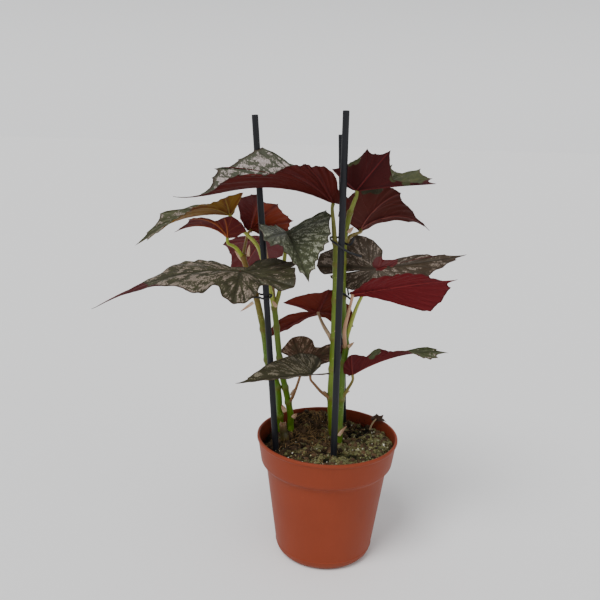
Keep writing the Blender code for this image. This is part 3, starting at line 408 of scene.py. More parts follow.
CANE_SIDES = 20
STALK_SIDES = 14
STAKE_SIDES = 48
SPLINTER_SIDES = 6
DOME_RISE = 0.25  # the low domes that close a round bar, as shares of its radius: height,
SHOULDER_RISE = 0.175  # and height and radius of the ring half way up
SHOULDER_RADIUS = 0.75
LATTICE = 97  # random heights each way in the smooth noise
LATTICE_SHIFT = 500.0  # keeps the places of the noise above nought
SECTOR_STOPS = np.array((0.0, 0.05, 0.13, 0.24, 0.37, 0.5, 0.63, 0.76, 0.87, 0.95))
FLOW_TURN = 26.0  # blotches follow rays from the seat: width in mm for each radian round it
FLOW_RUN = 0.3  # and their length is drawn out by the inverse of this
FLOW_SHIFT = 17.0  # each blade's blotches stand this far on from the last blade's
LOBE_REACH = 0.2  # a tooth that has a main vein stands at least this far from the seat, in leaf lengths
TOOTH_REACH = 0.12  # and one that has a side vein at least this far
MAIN_VEIN_END = 0.94  # where veins end, as shares of their tooth's reach
SIDE_VEIN_END = 0.93
SIDE_VEIN_START = 0.42  # where side veins leave their main vein
MIDRIB_BRANCHES = (0.3, 0.52, 0.72)  # places of the pairs of side veins on the midrib, in leaf lengths
MAIN_PLEAT_WIDTH = 0.05  # how soon the blade rises beside a vein, in leaf lengths
SIDE_PLEAT_WIDTH = 0.02
HOOK_SCALE = 12.2  # brings ahead^4 (1 - ahead) to one where it is highest
SEAT_ABOVE = 0.2  # a blade's middle point over and under its seat, in mm
SEAT_BELOW = 0.9
SPAN_STEPS = 8  # points of a smoothed route between two given ones
TOOTH_STEPS = np.array((0.014, 0.0, -0.006, 0.012, -0.004, 0.010, -0.004, 0.012, -0.006, 0.0))


# Mesh helpers


class Bundle:
    """Points and faces of one piece in mm, gathered from several surfaces, with marks on the points."""

    def __init__(self):
        self.points = []
        self.quads = []
        self.triangles = []
        self.marks = {}
        self.count = 0

    def add(self, points, quads=None, triangles=None, **marks):
        """One more surface and its marks: a number for all of its points, or a number or colour for each."""
        for kind, faces in ((self.quads, quads), (self.triangles, triangles)):
            if faces is not None:
                kind.append(faces + self.count)
        for name, values in marks.items():
            if np.ndim(values) == 0:
                values = np.full(len(points), float(values))
            self.marks.setdefault(name, []).append(values)
        self.points.append(points)
        self.count += len(points)

    def build(self, name, finish, smooth_angle=None):
        """The piece's object, riding on the plant, with every point in its mesh."""
        points = np.vstack(self.points) * MM
        mesh = bpy.data.meshes.new(name)
        mesh.vertices.add(len(points))
        mesh.vertices.foreach_set("co", points.astype(np.float32).ravel())
        groups = [np.vstack(g) for g in (self.quads, self.triangles) if g]
        corners = np.concatenate([g.ravel() for g in groups])
        sizes = np.concatenate([np.full(len(g), g.shape[1]) for g in groups])
        starts = np.concatenate(([0], np.cumsum(sizes)[:-1]))
        mesh.loops.add(len(corners))
        mesh.loops.foreach_set("vertex_index", corners.astype(np.int32))
        mesh.polygons.add(len(sizes))
        mesh.polygons.foreach_set("loop_start", starts.astype(np.int32))
        mesh.update(calc_edges=True)
        mesh.validate()
        for mark, parts in self.marks.items():
            values = np.concatenate(parts)
            if values.ndim == 2:
                rgba = np.hstack((values, np.ones((len(values), 1)))).astype(np.float32)
                layer = mesh.attributes.new(mark, "FLOAT_COLOR", "POINT")
                layer.data.foreach_set("color", rgba.ravel())
            else:
                layer = mesh.attributes.new(mark, "FLOAT", "POINT")
                layer.data.foreach_set("value", values.astype(np.float32))
        mesh.shade_smooth()
        if smooth_angle is not None:
            mesh.set_sharp_from_angle(angle=math.radians(smooth_angle))
        mesh.materials.append(finish)
        piece = linked(name, mesh)
        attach(piece, BODY)
        return piece


def linked(name, data):
    """A new object in the scene."""
    thing = bpy.data.objects.new(name, data)
    bpy.context.scene.collection.objects.link(thing)
    return thing


def round_angles(sides):
    """The angles of points that stand evenly round a circle."""
    return 2 * np.pi * np.arange(sides) / sides


def grid_quads(rows, columns, closed):
    """Quads of a grid of points stored row by row; closed joins the last column to the first."""
    across = columns if closed else columns - 1
    row, column = np.meshgrid(np.arange(rows - 1), np.arange(across), indexing="ij")
    row = row.ravel()
    column = column.ravel()
    after = (column + 1) % columns
    return np.stack((row * columns + column, row * columns + after, (row + 1) * columns + after,
                     (row + 1) * columns + column), axis=1)


def fan(centre, first, columns, inward=False):
    """Triangles from one point to a closed ring of points."""
    column = np.arange(columns)
    after = (column + 1) % columns
    ring = np.stack((np.full(columns, centre), first + column, first + after), axis=1)
    return ring[:, ::-1] if inward else ring


def closed_faces(rows, sides):
    """Quads between the rings of a closed surface, and triangles to its two poles, which follow the rings."""
    count = rows * sides
    ends = np.vstack((fan(count, 0, sides, inward=True), fan(count + 1, count - sides, sides)))
    return grid_quads(rows, sides, True), ends


def plate_faces(rows, columns):
    """Quads and triangles of a two-faced plate: its upper rings and middle point, then the lower ones."""
    count = rows * columns
    shift = count + 1
    quads = grid_quads(rows, columns, True)
    rim = np.arange(count - columns, count)
    after = np.roll(rim, -1)
    strip = np.stack((rim, rim + shift, after + shift, after), axis=1)
    middles = np.vstack((fan(count, 0, columns), fan(count + shift, shift, columns, inward=True)))
    return np.vstack((quads[:, ::-1], quads + shift, strip[:, ::-1])), middles


def unit(vectors):
    """Vectors along the last axis, brought to length one."""
    return vectors / np.maximum(np.linalg.norm(vectors, axis=-1, keepdims=True), 1e-9)


def soft_step(values, low, high):
    """0 below low, 1 above high, and the cubic 3t^2 - 2t^3 between."""
    t = np.clip((values - low) / (high - low), 0.0, 1.0)
    return t * t * (3.0 - 2.0 * t)


def rounded(corners, radii, steps=5):
    """A profile whose corners are cut back by their radii and joined by second-degree curves."""
    corners = np.array(corners, float)
    out = [corners[:1]]
    for before, here, after, radius in zip(corners[:-2], corners[1:-1], corners[2:], radii[1:-1]):
        if radius == 0:
            out.append(here[None])
            continue
        back = before - here
        ahead = after - here
        reach = min(radius, 0.48 * np.linalg.norm(back), 0.48 * np.linalg.norm(ahead))
        start = here + reach * back / np.linalg.norm(back)
        end = here + reach * ahead / np.linalg.norm(ahead)
        t = np.linspace(0.0, 1.0, steps)[:, None]
        out.append((1 - t) ** 2 * start + 2 * t * (1 - t) * here + t**2 * end)
    out.append(corners[-1:])
    return np.vstack(out)


def turned(profile, sides):
    """A profile of (radius, z) from pole to pole turned about Z: points, quads and end triangles."""
    angles = round_angles(sides)
    inner = profile[1:-1]
    points = np.stack((inner[:, :1] * np.cos(angles), inner[:, :1] * np.sin(angles),
                       np.repeat(inner[:, 1:], sides, axis=1)), axis=-1).reshape(-1, 3)
    poles = np.array([[0, 0, profile[0][1]], [0, 0, profile[-1][1]]])
    return np.vstack((points, poles)), *closed_faces(len(inner), sides)


def smooth_route(points, per_span):
    """A Catmull-Rom curve through given points, each with any number of numbers to a point."""
    knots = np.array(points, float)
    knots = np.vstack((2 * knots[0] - knots[1], knots, 2 * knots[-1] - knots[-2]))
    share = (np.arange(per_span) / per_span)[:, None, None]
    a, b, c, d = (knots[k:len(knots) - 3 + k][None] for k in range(4))
    curve = 0.5 * (2 * b + (c - a) * share + (2 * a - 5 * b + 4 * c - d) * share**2
                   + (3 * b - a - 3 * c + d) * share**3)
    curve = curve.transpose(1, 0, 2).reshape(-1, knots.shape[1])
    return np.vstack((curve, knots[-2:-1]))


def path_frames(route):
    """Along a route, its heading and two directions square to it that turn as little as they can: each is the
    last one, less its part along the heading."""
    heading = unit(np.gradient(route, axis=0))
    across = np.empty_like(route)
    start = np.cross(heading[0], (0.3, 0.9, 0.2))
    for k, way in enumerate(heading):
        start = start - way * (start @ way)
        start = start / np.linalg.norm(start)
        across[k] = start
    return heading, across, np.cross(heading, across)


def tube(route, radii, sides, ripple=0.0):
    """A round bar along a route, radius by radius, with a low dome at each end: points, quads and end
    triangles. A ripple gives it five shallow ribs of that share of its radius."""
    heading, across, beside = path_frames(route)
    ends = route[[0, -1]]
    outwards = np.array((-heading[0] * radii[0], heading[-1] * radii[-1]))
    shoulders = ends + SHOULDER_RISE * outwards
    centres = np.vstack((shoulders[:1], route, shoulders[1:]))
    ring = np.concatenate((SHOULDER_RADIUS * radii[:1], radii, SHOULDER_RADIUS * radii[-1:]))
    across, beside = (np.vstack((way[:1], way, way[-1:]))[:, None] for way in (across, beside))
    angles = round_angles(sides)[None, :, None]
    wave = 1.0 + ripple * np.cos(5 * angles)
    points = centres[:, None] + ring[:, None, None] * wave * (
        np.cos(angles) * across + np.sin(angles) * beside)
    poles = ends + DOME_RISE * outwards
    return np.vstack((points.reshape(-1, 3), poles)), *closed_faces(len(centres), sides)


def row_values(values, sides):
    """A number or colour for each row of a tube's route, spread to all of its points, domes included."""
    rows = np.concatenate((values[:1], values, values[-1:]))
    return np.concatenate((np.repeat(rows, sides, axis=0), values[:1], values[-1:]))


def cell_noise(x, y, cell, seed):
    """Smooth noise from -1 to 1: random heights on a square lattice, blended by the cubic 3t^2 - 2t^3."""
    heights = np.random.default_rng(seed).uniform(-1.0, 1.0, (LATTICE, LATTICE))
    u = np.asarray(x) / cell + LATTICE_SHIFT
    v = np.asarray(y) / cell + LATTICE_SHIFT
    i = np.floor(u).astype(int)
    j = np.floor(v).astype(int)
    s = soft_step(u - i, 0.0, 1.0)
    t = soft_step(v - j, 0.0, 1.0)
    left, right, near, far = i % LATTICE, (i + 1) % LATTICE, j % LATTICE, (j + 1) % LATTICE
    low = heights[left, near] * (1 - s) + heights[right, near] * s
    high = heights[left, far] * (1 - s) + heights[right, far] * s
    return low * (1 - t) + high * t


# Shader helpers


def tone(red, green, blue):
    """A 0 to 255 screen colour as linear red, green, blue and alpha."""
    parts = []
    for value in (red, green, blue):
        share = value / 255.0
        parts.append(share / 12.92 if share <= 0.04045 else ((share + 0.055) / 1.055) ** 2.4)
    return (*parts, 1.0)


class Wire:
    """A socket that can be reckoned with; each step adds its Math node."""

    def __init__(self, paint, socket):
        self.paint = paint
        self.socket = socket

    def step(self, operation, other, swapped=False):
        """One Math node on this socket and another one or a number."""
        first, second = (other, self) if swapped else (self, other)
        return self.paint.node("ShaderNodeMath", {"operation": operation}, {0: first, 1: second})

    def __add__(self, other):
        return self.step("ADD", other)

    def __sub__(self, other):
        return self.step("SUBTRACT", other)

    def __rsub__(self, other):
        return self.step("SUBTRACT", other, True)

    def __mul__(self, other):
        return self.step("MULTIPLY", other)

    __radd__ = __add__
    __rmul__ = __mul__


class Paint:
    """One material and the nodes that feed its shader."""

    def __init__(self, name):
        self.material = bpy.data.materials.new(name)
        self.material.use_nodes = True
        self.tree = self.material.node_tree
        self.shader = self.tree.nodes["Principled BSDF"]

    def node(self, kind, settings=None, values=None, output=0):
        """A node with its settings made first, then its sockets given values or links."""
        made = self.tree.nodes.new(kind)
        for key, value in (settings or {}).items():
            setattr(made, key, value)
        for key, value in (values or {}).items():
            self.put(made.inputs[key], value)
        return Wire(self, made.outputs[output])

    def put(self, socket, value):
        """Gives a socket a value, or links it."""
        if isinstance(value, Wire):
            self.tree.links.new(value.socket, socket)
        else:
            socket.default_value = value

    def mark(self, name, colour=False):
        """A number or colour that the mesh carries on its points."""
        return self.node("ShaderNodeAttribute", {"attribute_name": name}, output=0 if colour else 2)

    def place(self):
        """Object coordinates, in metres."""
        return self.node("ShaderNodeTexCoord", output=3)

    def stretched(self, x, y, z):
        """Object coordinates scaled along each axis."""
        return self.node("ShaderNodeVectorMath", {"operation": "MULTIPLY"}, {0: self.place(), 1: (x, y, z)})

    def noise(self, size, detail=2.0, vector=None, rough=0.5):
        """Smooth noise from 0 to 1 whose lumps are about size mm across."""
        where = vector or self.place()
        scale = (1.0 if vector else 1.0 / MM) / size
        return self.node("ShaderNodeTexNoise", None,
                         {"Vector": where, "Scale": scale, "Detail": detail, "Roughness": rough})

    def dots(self, size, vector=None):
        """Distance from the nearest of many scattered points about size mm apart, in shares of size."""
        where = vector or self.place()
        return self.node("ShaderNodeTexVoronoi", {"feature": "F1"},
                         {"Vector": where, "Scale": (1.0 if vector else 1.0 / MM) / size})

    def between(self, value, low, high):
        """0 below low, 1 above high and smooth between."""
        return self.node("ShaderNodeMapRange", {"interpolation_type": "SMOOTHSTEP"},
                         {"Value": value, "From Min": low, "From Max": high})

    def mix(self, share, first, second):
        """Two colours mixed by share."""
        return self.node("ShaderNodeMix", {"data_type": "RGBA"}, {0: share, 6: first, 7: second}, output=2)

    def shade(self, colour, amount):
        """A colour made darker or lighter by a factor that may vary."""
        if not isinstance(colour, Wire):
            return tuple(part * amount for part in colour[:3]) + (1.0,)
        return self.node("ShaderNodeVectorMath", {"operation": "SCALE"}, {0: colour, "Scale": amount})

    def spread(self, share, colour, low, high):
        """A colour that runs by share from low to high times itself."""
        return self.mix(share, self.shade(colour, low), self.shade(colour, high))

    def most(self, first, second):
        """The greater of two numbers."""
        return self.node("ShaderNodeMath", {"operation": "MAXIMUM"}, {0: first, 1: second})

    def bump(self, height, strength=1.0):
        """A normal from a height in mm."""
        return self.node("ShaderNodeBump", None, {"Height": height, "Strength": strength, "Distance": MM})

    def finish(self, colour, roughness, normal=None, **settings):
        """Feeds the shader and gives the material."""
        self.put(self.shader.inputs["Base Color"], colour)
        self.put(self.shader.inputs["Roughness"], roughness)
        if normal is not None:
            self.put(self.shader.inputs["Normal"], normal)
        for key, value in settings.items():
            self.shader.inputs[key.replace("_", " ")].default_value = value
        return self.material


# Leaf blades


def bend(length, start, rate):
    """How far along and up a walk gets that starts at an angle and turns steadily, and its last angle."""
    rate = np.where(np.abs(rate) < 1e-6, 1e-6, rate)
    angle = start + rate * length
    return (np.sin(angle) - np.sin(start)) / rate, (np.cos(start) - np.cos(angle)) / rate, angle


def blade_axes(blade):
    """Seat, forward, left and upward directions and the straight length from the leaf's seat to its tip."""
    seat = np.array(blade.seat, float)
    forward = np.array(blade.tip, float) - seat
    chord = np.linalg.norm(forward)
    forward = forward / chord
    level = unit(np.array((0.0, 0.0, 1.0)) - forward * forward[2])
    side = np.cross(level, forward)
    roll = math.radians(blade.roll)
    upward = level * math.cos(roll) + side * math.sin(roll)
    left = side * math.cos(roll) - level * math.sin(roll)
    return seat, forward, left, upward, chord


def blade_length(blade):
    """The length along the arched midrib from seat to tip."""
    chord = blade_axes(blade)[4]
    arch = math.radians(blade.arch)
    return chord * (arch / 2) / math.sin(arch / 2)


def vein_lines(blade):
    """The main veins, from the seat to the tip and to each lobe, and the side veins, which leave the nearest
    main vein early and run to the other teeth: x, y at the start and x, y at the end, in leaf lengths."""
    main = [(0.0, 0.0, 0.98, 0.0)]
    side = []
    for half, sign in ((blade.left, 1), (blade.right, -1)):
        teeth = np.array(half) * (1, sign)
        reach = np.hypot(*teeth.T)
        lobes = [k for k in range(1, len(teeth) - 1)
                 if reach[k] > max(reach[k - 1], reach[k + 1], LOBE_REACH)]
        main += [(0.0, 0.0, MAIN_VEIN_END * x, MAIN_VEIN_END * y) for x, y in teeth[lobes]]
        turns = np.arctan2(teeth[lobes, 1], teeth[lobes, 0])
        for k, (x, y) in enumerate(teeth):
            if k in lobes or reach[k] < TOOTH_REACH:
                continue
            angle = math.atan2(y, x)
            nearest = min([0.0, *turns], key=lambda turn: abs(turn - angle))
            start = SIDE_VEIN_START * reach[k] * max(math.cos(angle - nearest), 0.3)
            side.append((start * math.cos(nearest), start * math.sin(nearest),
                         SIDE_VEIN_END * x, SIDE_VEIN_END * y))
    for share in MIDRIB_BRANCHES:
        for sign in (1, -1):
            side.append((share, 0.0, share + 0.16 * (1.2 - share), sign * 0.17 * (1.2 - share)))
    return np.array(main), np.array(side)


def line_gap(lines, x, y):
    """Distance from the nearest of some straight lines, in leaf lengths."""
    gap = np.full(np.shape(x), 9.0)
    for start_x, start_y, end_x, end_y in lines:
        way_x = end_x - start_x
        way_y = end_y - start_y
        share = np.clip(((x - start_x) * way_x + (y - start_y) * way_y) / (way_x**2 + way_y**2), 0.0, 1.0)
        gap = np.minimum(gap, np.hypot(x - start_x - share * way_x, y - start_y - share * way_y))
    return gap


def place_blade(blade, x, y, ruffle):
    """Flat leaf coordinates, in leaf lengths, bent into place in mm, with ruffle added to the height.

    The blade rises from its veins as 1 - e^(-gap / width). Each half turns up about the midrib by its fold
    and curls on along an arc, the blade twists along the midrib in proportion to x, or to x^3 where it
    twists late, and the midrib is an arc between the seat and the tip.
    """
    seat, forward, left, upward, _ = blade_axes(blade)
    arch = math.radians(blade.arch)
    length = blade_length(blade)
    main, side = vein_lines(blade)
    reach = np.hypot(x, y)
    pleat = PLEAT * (1.0 - np.exp(-line_gap(main, x, y) / MAIN_PLEAT_WIDTH)) + ruffle
    side_pleat = 0.35 * PLEAT * (1.0 - np.exp(-line_gap(side, x, y) / SIDE_PLEAT_WIDTH))
    pleat = pleat + side_pleat * soft_step(reach, 0.05, 0.2)
    on_left = y > 0
    fold = np.radians(np.where(on_left, blade.fold[0], blade.fold[1]))
    curl = np.radians(np.where(on_left, blade.curl[0], blade.curl[1]))
    width = np.abs(y)
    out, up, angle = bend(width, fold, curl)
    soft = width / (width + 0.02)
    out = width * (1 - soft) + out * soft
    up = up * soft
    across = np.sign(y) * (out - pleat * np.sin(angle) * soft)
    raised = up + pleat * np.cos(angle)
    share = np.clip(x, -0.5, 1.2)
    twist = np.radians(blade.twist) * share * (1 - blade.late + blade.late * share**2)
    turned_across = across * np.cos(twist) - raised * np.sin(twist)
    turned_up = across * np.sin(twist) + raised * np.cos(twist)
    run, rise, slope = bend(x, arch / 2, np.where(x > 0, -arch, arch))
    ahead = np.clip(x, 0, 1)
    rise = rise + blade.hook * HOOK_SCALE * ahead**4 * (1 - ahead)
    run = run - turned_up * np.sin(slope)
    rise = rise + turned_up * np.cos(slope)
    return seat + length * (
        run[..., None] * forward + turned_across[..., None] * left + rise[..., None] * upward)


def leaf_seats():
    """Each leaf's seat and the upward direction of its blade there."""
    seats = {}
    for blade in LEAVES:
        seat, forward, _, upward, _ = blade_axes(blade)
        half = math.radians(blade.arch) / 2
        seats[blade.name] = (seat, upward * math.cos(half) - forward * math.sin(half))
    return seats


def blade_margin(blade, cut, teeth, seed):
    """The edge, column by column: between two teeth it is drawn in by cut along a parabola, or, as far as the
    leaf is soft, it follows a Catmull-Rom curve through them; small teeth stand on it. Gives (x, y) in leaf
    lengths and each column's place between two veins."""
    corners = [(1.0, 0.0), *blade.left, (-0.03, 0.0)]
    corners += [(x, -y) for x, y in reversed(blade.right)]
    corners = np.array(corners)
    before, after, later = (np.roll(corners, k, axis=0) for k in (1, -1, -2))
    t = SECTOR_STOPS[None, :, None]
    straight = (corners[:, None] * (1 - t) + after[:, None] * t) * (1.0 - cut * 4 * t * (1 - t))
    curve = 0.5 * (2 * corners[:, None] + (after - before)[:, None] * t
                   + (2 * before - 5 * corners + 4 * after - later)[:, None] * t**2
                   + (3 * corners - before - 3 * after + later)[:, None] * t**3)
    soft = np.full((len(corners), 1, 1), float(blade.soft))
    base = len(blade.left)
    soft[[0, base, base + 1, -1]] = 0.0
    edge = straight * (1 - soft) + curve * soft
    span = np.linalg.norm(after - corners, axis=1)
    vary = np.random.default_rng(seed).uniform(0.3, 1.3, (len(corners), len(SECTOR_STOPS)))
    size = np.clip(span / 0.16, 0.35, 1.4)[:, None] * teeth * (1.0 - 0.5 * blade.soft)
    edge = edge * (1.0 + (TOOTH_STEPS[None] * vary * size)[..., None])
    column = np.arange(len(corners))[:, None] + SECTOR_STOPS[None]
    return edge.reshape(-1, 2), column.ravel()


def margin_distance(edge, x, y):
    """Distance to the nearest point of the edge or of the middles between its points, in leaf lengths."""
    posts = np.vstack((edge, 0.5 * (edge + np.roll(edge, -1, axis=0))))
    away = (x.reshape(-1, 1) - posts[:, 0]) ** 2 + (y.reshape(-1, 1) - posts[:, 1]) ** 2
    return np.sqrt(away.min(axis=1)).reshape(x.shape)


def blush_at(name, x, y):
    """Where an edge curls over: 1 in spots where the upper face shows the lower one's red, -1 in spots where
    the lower face shows the upper one's green, falling to 0 from 0.7 to 1.4 times each spot's radius."""
    blush = np.zeros(np.shape(x))
    for centre_x, centre_y, radius in BLUSHES.get(name, ()):
        spot = 1.0 - soft_step(np.hypot(x - centre_x, y - centre_y) / abs(radius), 0.7, 1.4)
        blush = np.where(spot > np.abs(blush), spot * np.sign(radius), blush)
    return blush


def add_blade(bundle, blade, number, settings):
    """Both faces of a blade: rings of points from the seat to the cut edge, lifted off the middle surface
    along its normal, with veins sunk into the upper face and standing out of the lower one as bells
    e^(-(gap / width)^2). The ruffle is a cosine from tooth to tooth, and slow waves are sin x sin y."""
    edge, column = blade_margin(blade, settings.edge_cut, settings.teeth, number)
    length = blade_length(blade)
    rings = (np.arange(1, settings.rows + 1) / settings.rows) ** 0.85  # closer together towards the edge
    share = np.repeat(rings[:, None], len(edge), axis=1)
    x, y = share * edge[:, 0], share * edge[:, 1]
    phase = 1.7 * number
    ruffle = settings.ruffle * share**3 * -np.cos(2 * np.pi * column) * np.clip(np.abs(y) / 0.12, 0, 1)
    ruffle = ruffle + settings.wave * share**2 * np.sin(8.0 * x + phase) * np.sin(7.0 * y - phase)
    middle = place_blade(blade, x, y, ruffle)
    around = np.roll(middle, -1, axis=1) - np.roll(middle, 1, axis=1)
    normal = unit(np.cross(np.gradient(middle, axis=0), around))
    gap, side_gap = (line_gap(lines, x, y) * length for lines in vein_lines(blade))
    rib = settings.rib * (1.0 - share) ** 0.8 * np.exp(-((gap / 0.75) ** 2))
    rib = rib + 0.5 * settings.rib * (1.0 - share) ** 0.5 * np.exp(-((y * length / 0.9) ** 2)) * (x > 0)
    half = settings.blade * 0.5 * (1.0 - 0.45 * share)  # the blade thins towards its edge
    groove = 0.25 * np.exp(-((gap / 0.9) ** 2)) * (1 - share)
    upper = middle + normal * (half - groove)[..., None]
    lower = middle - normal * (half + rib)[..., None]
    seat = np.array(blade.seat, float)
    straight_up = unit(normal[0].sum(axis=0))
    points = np.vstack((upper.reshape(-1, 3), seat + SEAT_ABOVE * straight_up, lower.reshape(-1, 3),
                        seat - SEAT_BELOW * straight_up))

    def both(values, at_seat=0.0):
        """A number at each point of a face and at its middle point, once for each face."""
        return np.tile(np.append(values, at_seat), 2)

    reach = np.hypot(x, y) * length
    flow = (FLOW_TURN * np.arctan2(y, x), FLOW_RUN * reach, 0 * x + FLOW_SHIFT * number)
    bundle.add(
        points,
        *plate_faces(*x.shape),
        upper_face=np.repeat((1.0, 0.0), x.size + 1),
        vein_gap=both(gap),
        side_vein_gap=both(side_gap),
        margin_share=both(share),
        half_side=both(np.clip(y / 0.05, -1, 1)),
        blush=both(blush_at(blade.name, x, y)),
        margin_gap=both(margin_distance(edge, x, y) * length, 20.0),
        base_side=both(soft_step(-x, 0.0, 0.12)),
        flow=np.stack([both(values, values[0, 0]) for values in flow], axis=1),
    )


def leaf_finish(name, look):
    """Above, silver blotches drawn out along the veins between dark bands; beneath, red with paler veins."""
    paint = Paint(name)
    upper = paint.mark("upper_face")
    gap = paint.mark("vein_gap")
    side_gap = paint.mark("side_vein_gap")
    share = paint.mark("margin_share")
    broad = paint.noise(16.0, 2.0)
    patch = paint.noise(6.0, 3.0, rough=0.6)
    blotch = paint.noise(2.6, 3.0, vector=paint.mark("flow", colour=True), rough=0.65)
    fleck = paint.noise(1.1, 2.0, rough=0.7)
    silver = leaf_silver(paint, look, gap, side_gap, share, patch, blotch, fleck)
    # upper face: dark bands along the veins, broken silver blotches between them
    ground = paint.spread(broad, tone(*look.ground), 0.7, 1.25)
    ground = paint.mix(paint.between(patch, 0.4, 0.7) * 0.5, ground, tone(*look.olive))
    dark_band = (1.0 - paint.between(gap, 0.3, 1.6)) * 0.45
    line = (1.0 - paint.between(side_gap, 0.1, 0.7)) * 0.3
    ground = paint.mix(paint.most(dark_band, line), ground, tone(34, 32, 20))
    bright = paint.spread(paint.between(fleck, 0.35, 0.65), tone(*look.silver_colour), 0.6, 1.15)
    top = paint.mix(silver * 0.88, ground, bright)
    top = paint.mix(paint.between(share, 0.965, 1.0) * 0.5, top, tone(66, 34, 30))
    # lower face: velvety red, a little paler on the veins, and light that comes through in patches
    red = paint.spread(broad, tone(*look.red), 0.75, 1.25)
    red = paint.mix(paint.between(fleck, 0.45, 0.8) * 0.25, red, paint.shade(tone(*look.red), 1.6))
    lit_half = 0.5 + paint.mark("half_side") * 0.5 * look.glow_half if look.glow_half else 1.0
    glow = blotch * 0.5 + patch * 0.5 + paint.between(gap, 0.5, 6.0) * 0.4
    glow = paint.between(glow, 0.3, 0.8) * look.glow_share
    red = paint.mix(glow * lit_half, red, tone(*look.glow))
    side_line = 1.0 - paint.between(side_gap, 0.1, 0.55)
    red = paint.mix(side_line * 0.2, red, tone(*look.veins))
    vein_line = 1.0 - paint.between(gap, 0.15, 0.85)
    red = paint.mix(vein_line * (0.75 - share * 0.4), red, tone(*look.veins))
    red = paint.mix(paint.between(share, 0.97, 1.0) * 0.5, red, tone(44, 8, 10))
    # where an edge curls over, each face shows the other one's colours
    blush = paint.mark("blush")
    worn = (patch - 0.5) * 0.9 + (fleck - 0.5) * 0.4
    turned_red = upper * (1.0 - paint.between(blush + worn, 0.4, 0.6))
    turned_green = (1.0 - upper) * paint.between(worn - blush, 0.4, 0.6)
    colour = paint.mix(turned_red + turned_green, red, top)
    pillow = paint.between(gap, 0.0, 3.0) * paint.between(side_gap, 0.0, 1.6)
    pebble = 1.0 - paint.dots(0.9)
    height = pillow * 0.35 + pebble * 0.05 + paint.noise(0.5, 1.0) * 0.05 + patch * 0.3
    rough = 0.5 + (fleck - 0.5) * 0.16 + (1.0 - upper) * 0.14 + silver * 0.05
    return paint.finish(colour, rough, paint.bump(height, 0.7), Specular_IOR_Level=0.2)


def leaf_silver(paint, look, gap, side_gap, share, patch, blotch, fleck):
    """How silver the upper face is: blotches in the panels that veins and edge leave, and white specks."""
    ragged = (blotch - 0.5) * 3.0
    band = look.band
    panel = paint.between(gap + ragged, 0.4 * band, 1.8 * band)
    panel = panel * paint.between(side_gap + ragged * 0.5, 0.0, 1.5)
    panel = panel * paint.between(share + (patch - 0.5) * 0.2, 0.04, 0.16)
    panel = panel * paint.between(paint.mark("margin_gap") + ragged * 0.4, 0.2 * band, band)
    panel = panel * (1.0 - (1.0 - look.base_silver) * paint.mark("base_side"))
    cover = panel * (0.18 + look.silver * 0.66) + (blotch - 0.5) * 2.2 + (fleck - 0.5) * 1.2
    silver = paint.between(cover, 0.42, 0.62)
    speck = 1.0 - paint.between(paint.dots(1.9), 0.14, 0.3)
    speck = speck * paint.between(patch * 0.6 + panel * 0.4, 0.5, 0.7)
    return paint.most(silver * (1.0 - look.specks * 0.8), speck * look.specks)


# Canes, stalks and sheaths


def path_run(path):
    """How far along a path each of its rows is, in mm."""
    return np.concatenate(([0.0], np.cumsum(np.linalg.norm(np.diff(path[:, :3], axis=0), axis=1))))


def even_path(path, step):
    """A path's rows laid out again at an even step along it, in mm."""
    run = path_run(path)
    places = np.linspace(0.0, run[-1], max(4, int(run[-1] / step)))
    return np.stack([np.interp(places, run, path[:, k]) for k in range(path.shape[1])], axis=1), places


def cane_path(route):
    """A cane's points in even steps, with its straight foot in the soil first."""
    x, y, z, radius = route[0]
    below = (x * 0.95, y * 0.95, z - STEM_DEPTH, radius)
    path = smooth_route(((x, y, z + 5.0, radius), *route[1:]), SPAN_STEPS)
    return even_path(np.vstack((below, path)), 0.8)[0]


def swellings(places, spots, width):
    """1 at each spot along a path, falling off as a bell of the given width."""
    return np.clip(sum(np.exp(-((places - s) / width) ** 2) for s in spots), 0.0, 1.0)


def add_stem(bundle, path, sides, colours, spots, bulge, seed):
    """One round stem, whose radius is its path's, times 1 plus a bell at each node, less a lower one just
    past it, plus noise. Its colours are its foot's, its top's and the share of its length where they meet."""
    rows, places = even_path(path, 1.6)
    at_node = swellings(places, spots, 2.6)
    waist = swellings(places, [s + 5.0 for s in spots], 3.0)
    wobble = 0.03 * cell_noise(places, places * 0 + seed, 9.0, seed)
    radii = rows[:, 3] * (1.0 + bulge * at_node - 0.05 * waist + wobble)
    low, high, turn = colours
    share = soft_step(places / places[-1], turn - 0.2, turn + 0.2)[:, None]
    tint = np.array(tone(*low)[:3]) * (1 - share) + np.array(tone(*high)[:3]) * share
    bundle.add(*tube(rows[:, :3], radii, sides, ripple=0.012), tint=row_values(tint, sides),
               node_ring=row_values(at_node, sides))


def stalk_path(stalk, seats):
    """The stalk's route from inside its cane, brought square to the underside of its leaf."""
    seat, normal = seats[stalk.leaf]
    way = unit(unit(seat - np.array(stalk.route[-1][:3])) + 0.8 * normal)
    near = seat - way * 6.0
    end = seat - 0.5 * way - 0.2 * normal
    return stalk.route + ((*near, stalk.end_radius), (*end, stalk.end_radius * 1.15))


def node_spots(path, stalks, spacing):
    """Where a cane's nodes are: at an even spacing, moved to a stalk where one starts close by."""
    run = path_run(path)
    spots = list(np.arange(spacing * 0.9, run[-1] - 6.0, spacing))
    for stalk in stalks:
        gap = np.linalg.norm(path[:, :3] - np.array(stalk.route[0][:3]), axis=1)
        start = run[int(np.argmin(gap))] + 1.0
        spots = [s for s in spots if abs(s - start) > spacing * 0.5] + [start]
    return spots


